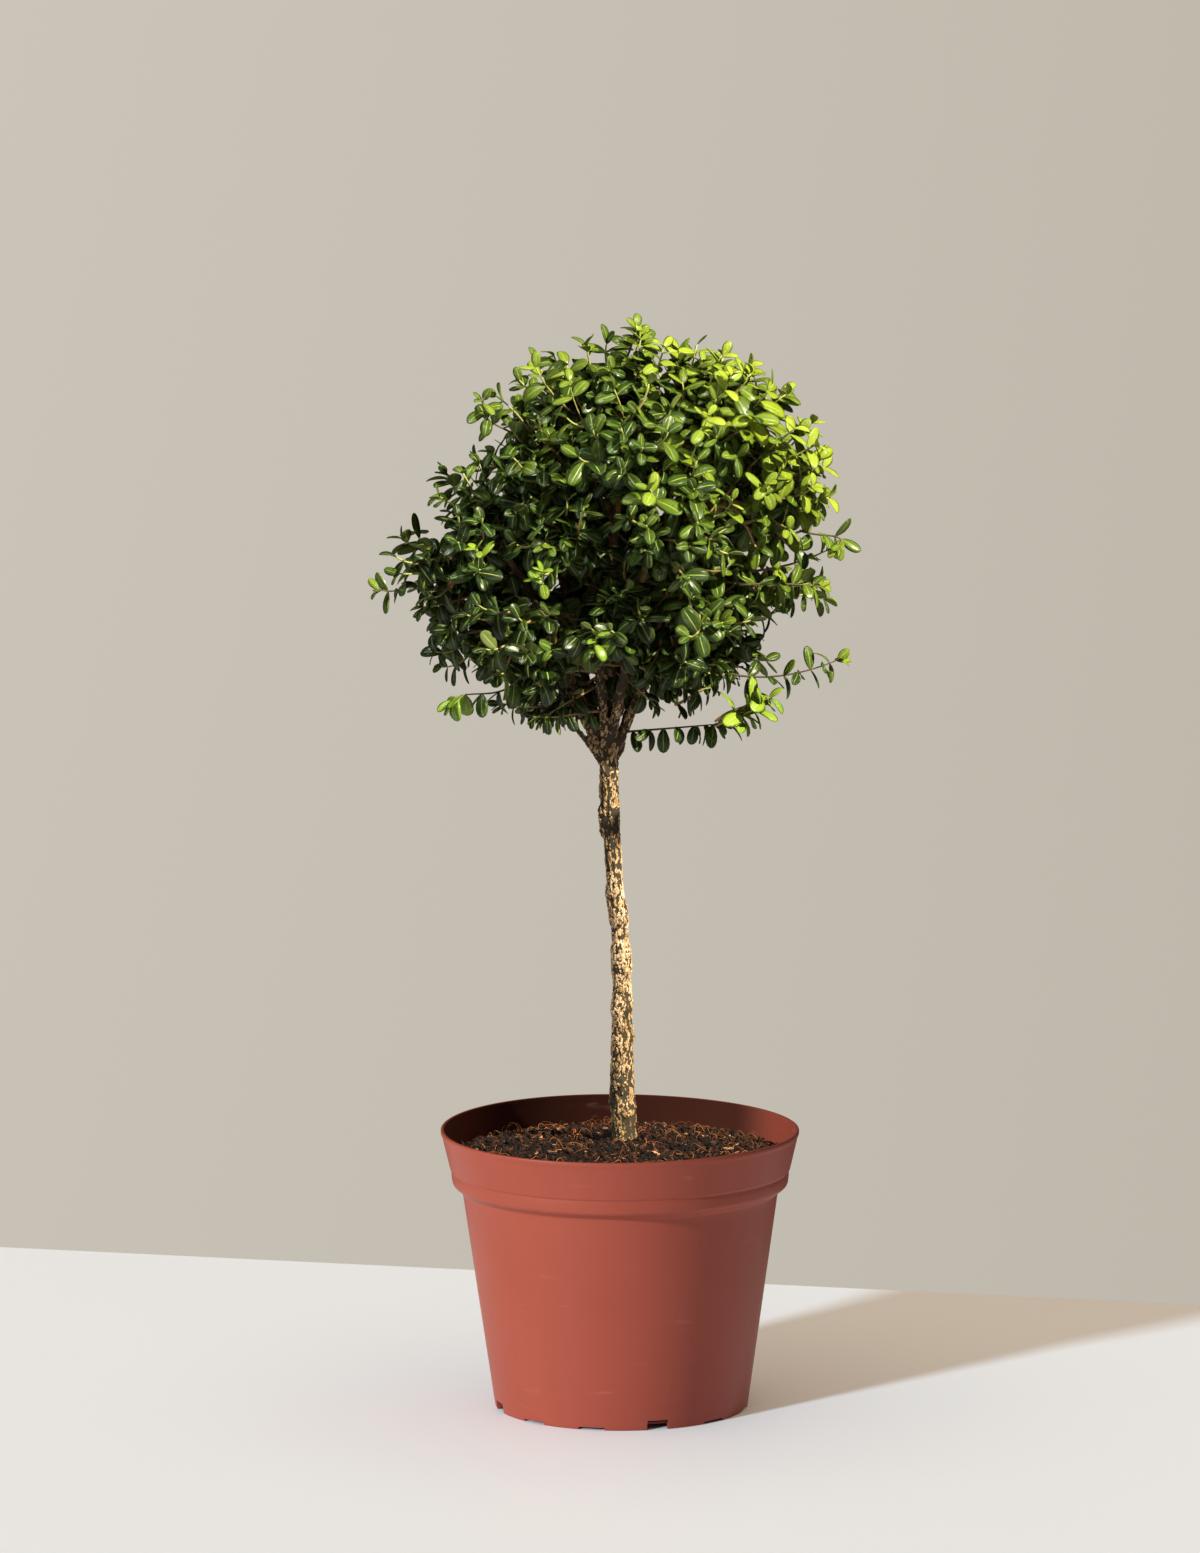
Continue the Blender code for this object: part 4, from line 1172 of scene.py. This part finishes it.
# Short sprays of young bright leaves: tip, the way it points there, freshness and leaf size.
TUFTS = [
    (0.089, -0.056, 0.440, 0.85, -0.4, 0.50, 1.5, 1.15),
    (0.083, -0.060, 0.436, 0.65, -0.5, 0.60, 1.5, 1.15),
    (0.075, -0.054, 0.430, 0.90, -0.4, 0.45, 1.4, 1.10),
    (0.079, -0.050, 0.439, 0.55, -0.3, 0.80, 1.5, 1.15),
    (-0.085, -0.060, 0.530, -0.2, -0.5, 0.9, 1.0, 0.74),
    (-0.046, -0.088, 0.520, 0.0, -0.6, 0.9, 0.8, 0.70),
    (-0.014, -0.092, 0.482, 0.1, -0.7, 0.8, 0.8, 0.70),
    (0.066, -0.088, 0.562, 0.3, -0.6, 0.9, 0.7, 0.85),
    (0.066, -0.056, 0.632, 0.4, -0.3, 1.0, 1.0, 0.80),
    (-0.030, -0.062, 0.630, -0.1, -0.4, 1.0, 0.5, 0.85),
    (0.052, -0.084, 0.612, 0.3, -0.6, 0.9, 0.8, 0.85),
    (0.012, -0.012, 0.651, 0.3, -0.2, 1.0, 0.5, 0.95),
]
# Low sprays with hanging leaves: tip and the way it points there.
LOW = [
    (0.042, -0.030, 0.441, 0.8, -0.3, -0.1),
    (0.056, -0.024, 0.441, 0.9, -0.2, -0.1),
    (0.066, 0.006, 0.443, 0.9, 0.1, -0.1),
    (-0.072, -0.026, 0.432, -1.0, -0.1, 0.20),
    (-0.052, -0.034, 0.425, -1.0, -0.2, 0.10),
    (-0.056, 0.010, 0.428, -1.0, 0.2, 0.15),
]


def all_sprays(rng):
    """Rows of a spray's tip, its way there, how fresh it is, leafy metres, leaf size, and hang."""
    filling = np.array(FILLING)
    tufts, low = np.array(TUFTS), np.array(LOW)
    bowl = hanging_sprays(rng)

    def rows(sprays, *numbers):
        return np.concatenate([sprays, np.broadcast_to(numbers, (len(sprays), len(numbers)))], 1)

    return np.concatenate([
        rows(filling, 0.058, 1.0, 0.0),
        np.insert(rows(tufts, 0.0), 7, 0.017, axis=1),
        rows(low, 0.0, 0.052, 0.78, 1.1), rows(bowl, 0.0, 0.040, 0.80, 0.2)])


def hanging_sprays(rng, count=46):
    """Sprays round the fork that hang from the lowest limbs: a bowl of them, lowest near the stem."""
    turns = np.arange(count) * 2.399963 + rng.normal(0, 0.2, count)
    reach = np.sqrt((np.arange(count) + 2.0) / count)
    x = -0.006 + 0.082 * reach * np.cos(turns)
    y = 0.066 * reach * np.sin(turns)
    z = 0.416 + 0.020 * reach**2 + rng.uniform(-4, 9, count) * MM
    z = z + 18 * MM * step(0.016, 0.034, x)
    kept = ((x < -0.042) | (x > 0.016) | (y > 0.030)) & (x > -0.070)
    sprays = np.stack([x, y, z, np.cos(turns), np.sin(turns), rng.uniform(-0.9, 0.0, count)], -1)
    return sprays[kept]


def hub_of_each(rng, owner, tips, roots):
    """Each clump's tips are shared among a few hubs, part of the way from its root to their middle."""
    hubs = np.zeros_like(tips)
    for number in np.unique(owner):
        mine = np.flatnonzero(owner == number)
        seeds = tips[rng.choice(mine, max(1, len(mine) // 4), replace=False)]
        nearest = np.linalg.norm(tips[mine, None] - seeds[None], axis=-1).argmin(1)
        for group in np.unique(nearest):
            members = mine[nearest == group]
            middle = tips[members].mean(0)
            hubs[members] = roots[members[0]] * 0.6 + middle * 0.4
    return hubs


def add_twigs(name, paths, radii, age, material):
    points, quads, caps = tubes(paths, radii, 5)
    mesh = new_mesh(name, points, quads, caps)
    per_ring = np.repeat(age[:, :, None], 5, 2).reshape(len(paths), -1)
    attach(mesh, "age", np.concatenate([per_ring, age[:, [0, -1]]], 1))
    outwards(mesh)
    piece(name, mesh, material, "bark")


# ---------------------------------------------------------------- stray shoots
# How far the tips of some shoots are moved from their CAD nodes'.
SHOOT_TIPS = {
    "upper_right_shoot": (-0.010, 0.0, -0.008),
    "low_left_shoot": (-0.002, 0.0, 0.004),
    "long_low_right_shoot": (0.0, 0.0, 0.007),
    "upper_left_shoot": (0.002, 0.0, 0.012),
    "middle_right_shoot": (0.0, 0.0, 0.006),
    "top_shoot": (0.001, 0.0, -0.001),
}


def make_stray_shoots(leaf, twig):
    """The shoots that stand out of the crown, each along the longest way through its CAD node's box."""
    rng = np.random.default_rng(29)
    for name in sorted(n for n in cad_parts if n.endswith("_shoot")):
        faces = cad_triangles(name).reshape(-1, 3)
        one = faces[np.linalg.norm(faces - faces.mean(0), axis=1).argmax()]
        other = faces[np.linalg.norm(faces - one, axis=1).argmax()]
        near, far = sorted((one, other), key=lambda end: np.linalg.norm(end - crown_centre))
        reach = np.linalg.norm(far - near)
        share = (faces - near) @ (far - near) / reach**2
        third, late = (faces[np.abs(share - place) < 0.14].mean(0) for place in (0.35, 0.72))
        tip = faces[share > 0.88].mean(0) + np.array(SHOOT_TIPS.get(name, (0.0, 0.0, 0.0)))
        corners = np.stack([near, third * 2 - (near + late) / 2, late * 2 - (third + tip) / 2, tip])[None]
        outward = unit(tip - near + np.array([0, -0.9, 0.2]) * reach)[None]
        big = 1.0 if name in ("top_shoot", "low_left_shoot") else 0.80
        hang = 0.9 if name.startswith("low") else 0.1
        young = 0.95 if name == "low_left_shoot" else 0.4
        numbers = (np.array([one]) for one in (reach * 0.92, young, big, hang))
        leaves = grow_leaves(rng, corners, outward, *numbers, 0.0)
        piece(name + "_leaves", leaf_mesh(name + "_leaves", leaves), leaf, "foliage", name)
        paths = curve_points(corners, np.linspace(0, 1, 14))
        stem = np.linspace(0.75, 0.35, 14)[None] * MM
        add_twigs(name + "_stem", paths, stem, np.linspace(-1.0, -0.4, 14)[None], twig)


# ---------------------------------------------------------------- stage, light and camera
def make_floor():
    """A pale table top whose far edge runs a little askew behind the pot."""
    m = Maker("pale_floor")
    cloud = m.speckle(m.position(), 3.0, 2.0)
    colour = m.mix(cloud, (0.865, 0.86, 0.845), (0.885, 0.88, 0.865))
    material = m.done(m.plain({"Base Color": colour, "Roughness": 0.55, "Normal": m.bump(cloud, 0.0005)}))
    far_left, far_right = np.array([-0.406, 0.477]), np.array([0.370, 0.291])
    along = unit(far_right - far_left)
    back = np.array([along[1], -along[0]])
    reach, depth, thick = 4.0, 7.0, 0.002
    middle = (far_left + far_right) / 2
    corners = [middle - along * reach, middle + along * reach,
               middle + along * reach + back * depth, middle - along * reach + back * depth]
    points = [(x, y, z) for z in (-thick, 0.0) for x, y in corners]
    quads = np.array([[0, 1, 2, 3], [4, 5, 6, 7], [0, 1, 5, 4], [1, 2, 6, 5], [2, 3, 7, 6], [3, 0, 4, 7]])
    mesh = new_mesh("floor", np.array(points), quads, None, True)
    outwards(mesh)
    mesh.materials.append(material)
    floor = bpy.data.objects.new("floor", mesh)
    bpy.context.scene.collection.objects.link(floor)
    return floor


def aim(item, target):
    """Turns a light or a camera to look at a point."""
    item.rotation_euler = (Vector(target) - item.location).to_track_quat("-Z", "Y").to_euler()


def sun_light(name, turn, height, power, colour, spread, receivers):
    """A far light. turn is how many degrees it stands to the right of the viewer, height how many up."""
    light = bpy.data.lights.new(name, "SUN")
    light.energy = power
    light.color = colour
    light.angle = math.radians(spread)
    item = bpy.data.objects.new(name, light)
    bpy.context.scene.collection.objects.link(item)
    a, e = math.radians(turn), math.radians(height)
    item.location = (math.sin(a) * math.cos(e) * 3, -math.cos(a) * math.cos(e) * 3, math.sin(e) * 3)
    aim(item, (0, 0, 0))
    item.light_linking.receiver_collection = receivers
    return item


def make_light():
    """A soft studio: a low key from the left on the pot and the floor, a warm high light from the right
    on the plant, a little light from all round, and a plain wall with painted shade, a little darker to
    the right and lower down."""
    world = bpy.data.worlds.new("studio")
    bpy.context.scene.world = world
    world.use_nodes = True
    tree = world.node_tree
    tree.nodes.clear()

    def add(kind, **sockets):
        made = tree.nodes.new(kind)
        for key, value in sockets.items():
            made.inputs[key].default_value = value
        return made

    def across(axis, low, high):
        """0 to 1 between two places along an axis of the direction of sight."""
        made = add("ShaderNodeMapRange")
        for key, value in (("From Min", low), ("From Max", high)):
            made.inputs[key].default_value = value
        tree.links.new(parts.outputs[axis], made.inputs[0])
        return made

    place = add("ShaderNodeTexCoord")
    parts = add("ShaderNodeSeparateXYZ")
    tree.links.new(place.outputs["Generated"], parts.inputs[0])
    # Painted shade: the wall seen by the camera darkens to the right and lower down.
    wall = add("ShaderNodeMix")
    wall.data_type = "RGBA"
    wall.inputs[6].default_value = (0.605, 0.560, 0.490, 1.0)
    wall.inputs[7].default_value = (0.530, 0.485, 0.415, 1.0)
    tree.links.new(across("X", -0.07, 0.07).outputs[0], wall.inputs[0])
    low = add("ShaderNodeMix")
    low.data_type = "RGBA"
    low.inputs[7].default_value = (0.48, 0.44, 0.38, 1.0)
    tree.links.new(wall.outputs[2], low.inputs[6])
    lower_wall_shade = add("ShaderNodeMath")
    lower_wall_shade.operation = "MULTIPLY"
    lower_wall_shade.inputs[1].default_value = 0.25
    tree.links.new(across("Z", -0.03, -0.24).outputs[0], lower_wall_shade.inputs[0])
    tree.links.new(lower_wall_shade.outputs[0], low.inputs[0])
    seen = add("ShaderNodeBackground")
    tree.links.new(low.outputs[2], seen.inputs["Color"])
    lit = add("ShaderNodeBackground", Color=(1.0, 0.94, 0.85, 1.0), Strength=0.105)
    path, both, out = add("ShaderNodeLightPath"), add("ShaderNodeMixShader"), add("ShaderNodeOutputWorld")
    tree.links.new(path.outputs["Is Camera Ray"], both.inputs[0])
    tree.links.new(lit.outputs[0], both.inputs[1])
    tree.links.new(seen.outputs[0], both.inputs[2])
    tree.links.new(both.outputs[0], out.inputs["Surface"])

    groups = {}
    for name in ("plant_and_soil", "pot_and_floor", "floor_only", "pot_only"):
        groups[name] = bpy.data.collections.new(name)
        bpy.context.scene.collection.children.link(groups[name])
    for item in [one for one in bpy.context.scene.objects if one.type == "MESH"]:
        first = item.data.materials[0].name if item.data.materials else ""
        held = first in ("pale_floor", "moulded_terracotta_plastic")
        groups["pot_and_floor" if held else "plant_and_soil"].objects.link(item)
        if held:
            groups["floor_only" if first == "pale_floor" else "pot_only"].objects.link(item)
    key = sun_light("pot_key", -54, 26, 3.85, (0.98, 1.0, 0.90), 4, groups["pot_only"])
    key.light_linking.blocker_collection = groups["pot_only"]
    sun_light("floor_key", -42, 20, 4.6, (0.64, 0.83, 1.0), 5, groups["floor_only"])
    sun_light("sun_right", 50, 39, 11.5, (1.0, 0.94, 0.76), 2.0, groups["plant_and_soil"])
    sun_light("sky_left", -64, 54, 2.6, (0.94, 0.98, 0.94), 14, groups["plant_and_soil"])
    fill = sun_light("floor_fill", 0, 89, 1.84, (1.0, 0.81, 0.63), 110, groups["floor_only"])
    fill.light_linking.blocker_collection = groups["pot_only"]


def make_camera():
    camera = bpy.data.cameras.new("camera")
    camera.lens = 215.0
    camera.sensor_width = 36.0
    item = bpy.data.objects.new("camera", camera)
    bpy.context.scene.collection.objects.link(item)
    item.location = (-0.012, -5.5, 1.21)
    item.rotation_euler = (math.radians(81.46), 0.0, 0.0)
    bpy.context.scene.camera = item


def main():
    bpy.context.scene.view_settings.view_transform = "Standard"
    make_camera()
    make_floor()
    make_pot(pot_material())
    make_soil(
        soil_material("potting_mix", (0.0022, 0.0012, 0.0007), (0.013, 0.005, 0.0017)),
        soil_material("mix_crumbs", (0.0026, 0.0014, 0.0009), (0.038, 0.012, 0.005)),
        soil_material("peat_fibres", (0.026, 0.006, 0.002), (0.33, 0.11, 0.035)),
        soil_material("bark_chips", (0.020, 0.006, 0.0025), (0.33, 0.17, 0.085)),
    )
    make_trunk(bark_material())
    leaf, twig = leaf_material(), twig_material()
    make_crown(leaf, twig)
    make_stray_shoots(leaf, twig)
    make_light()


main()
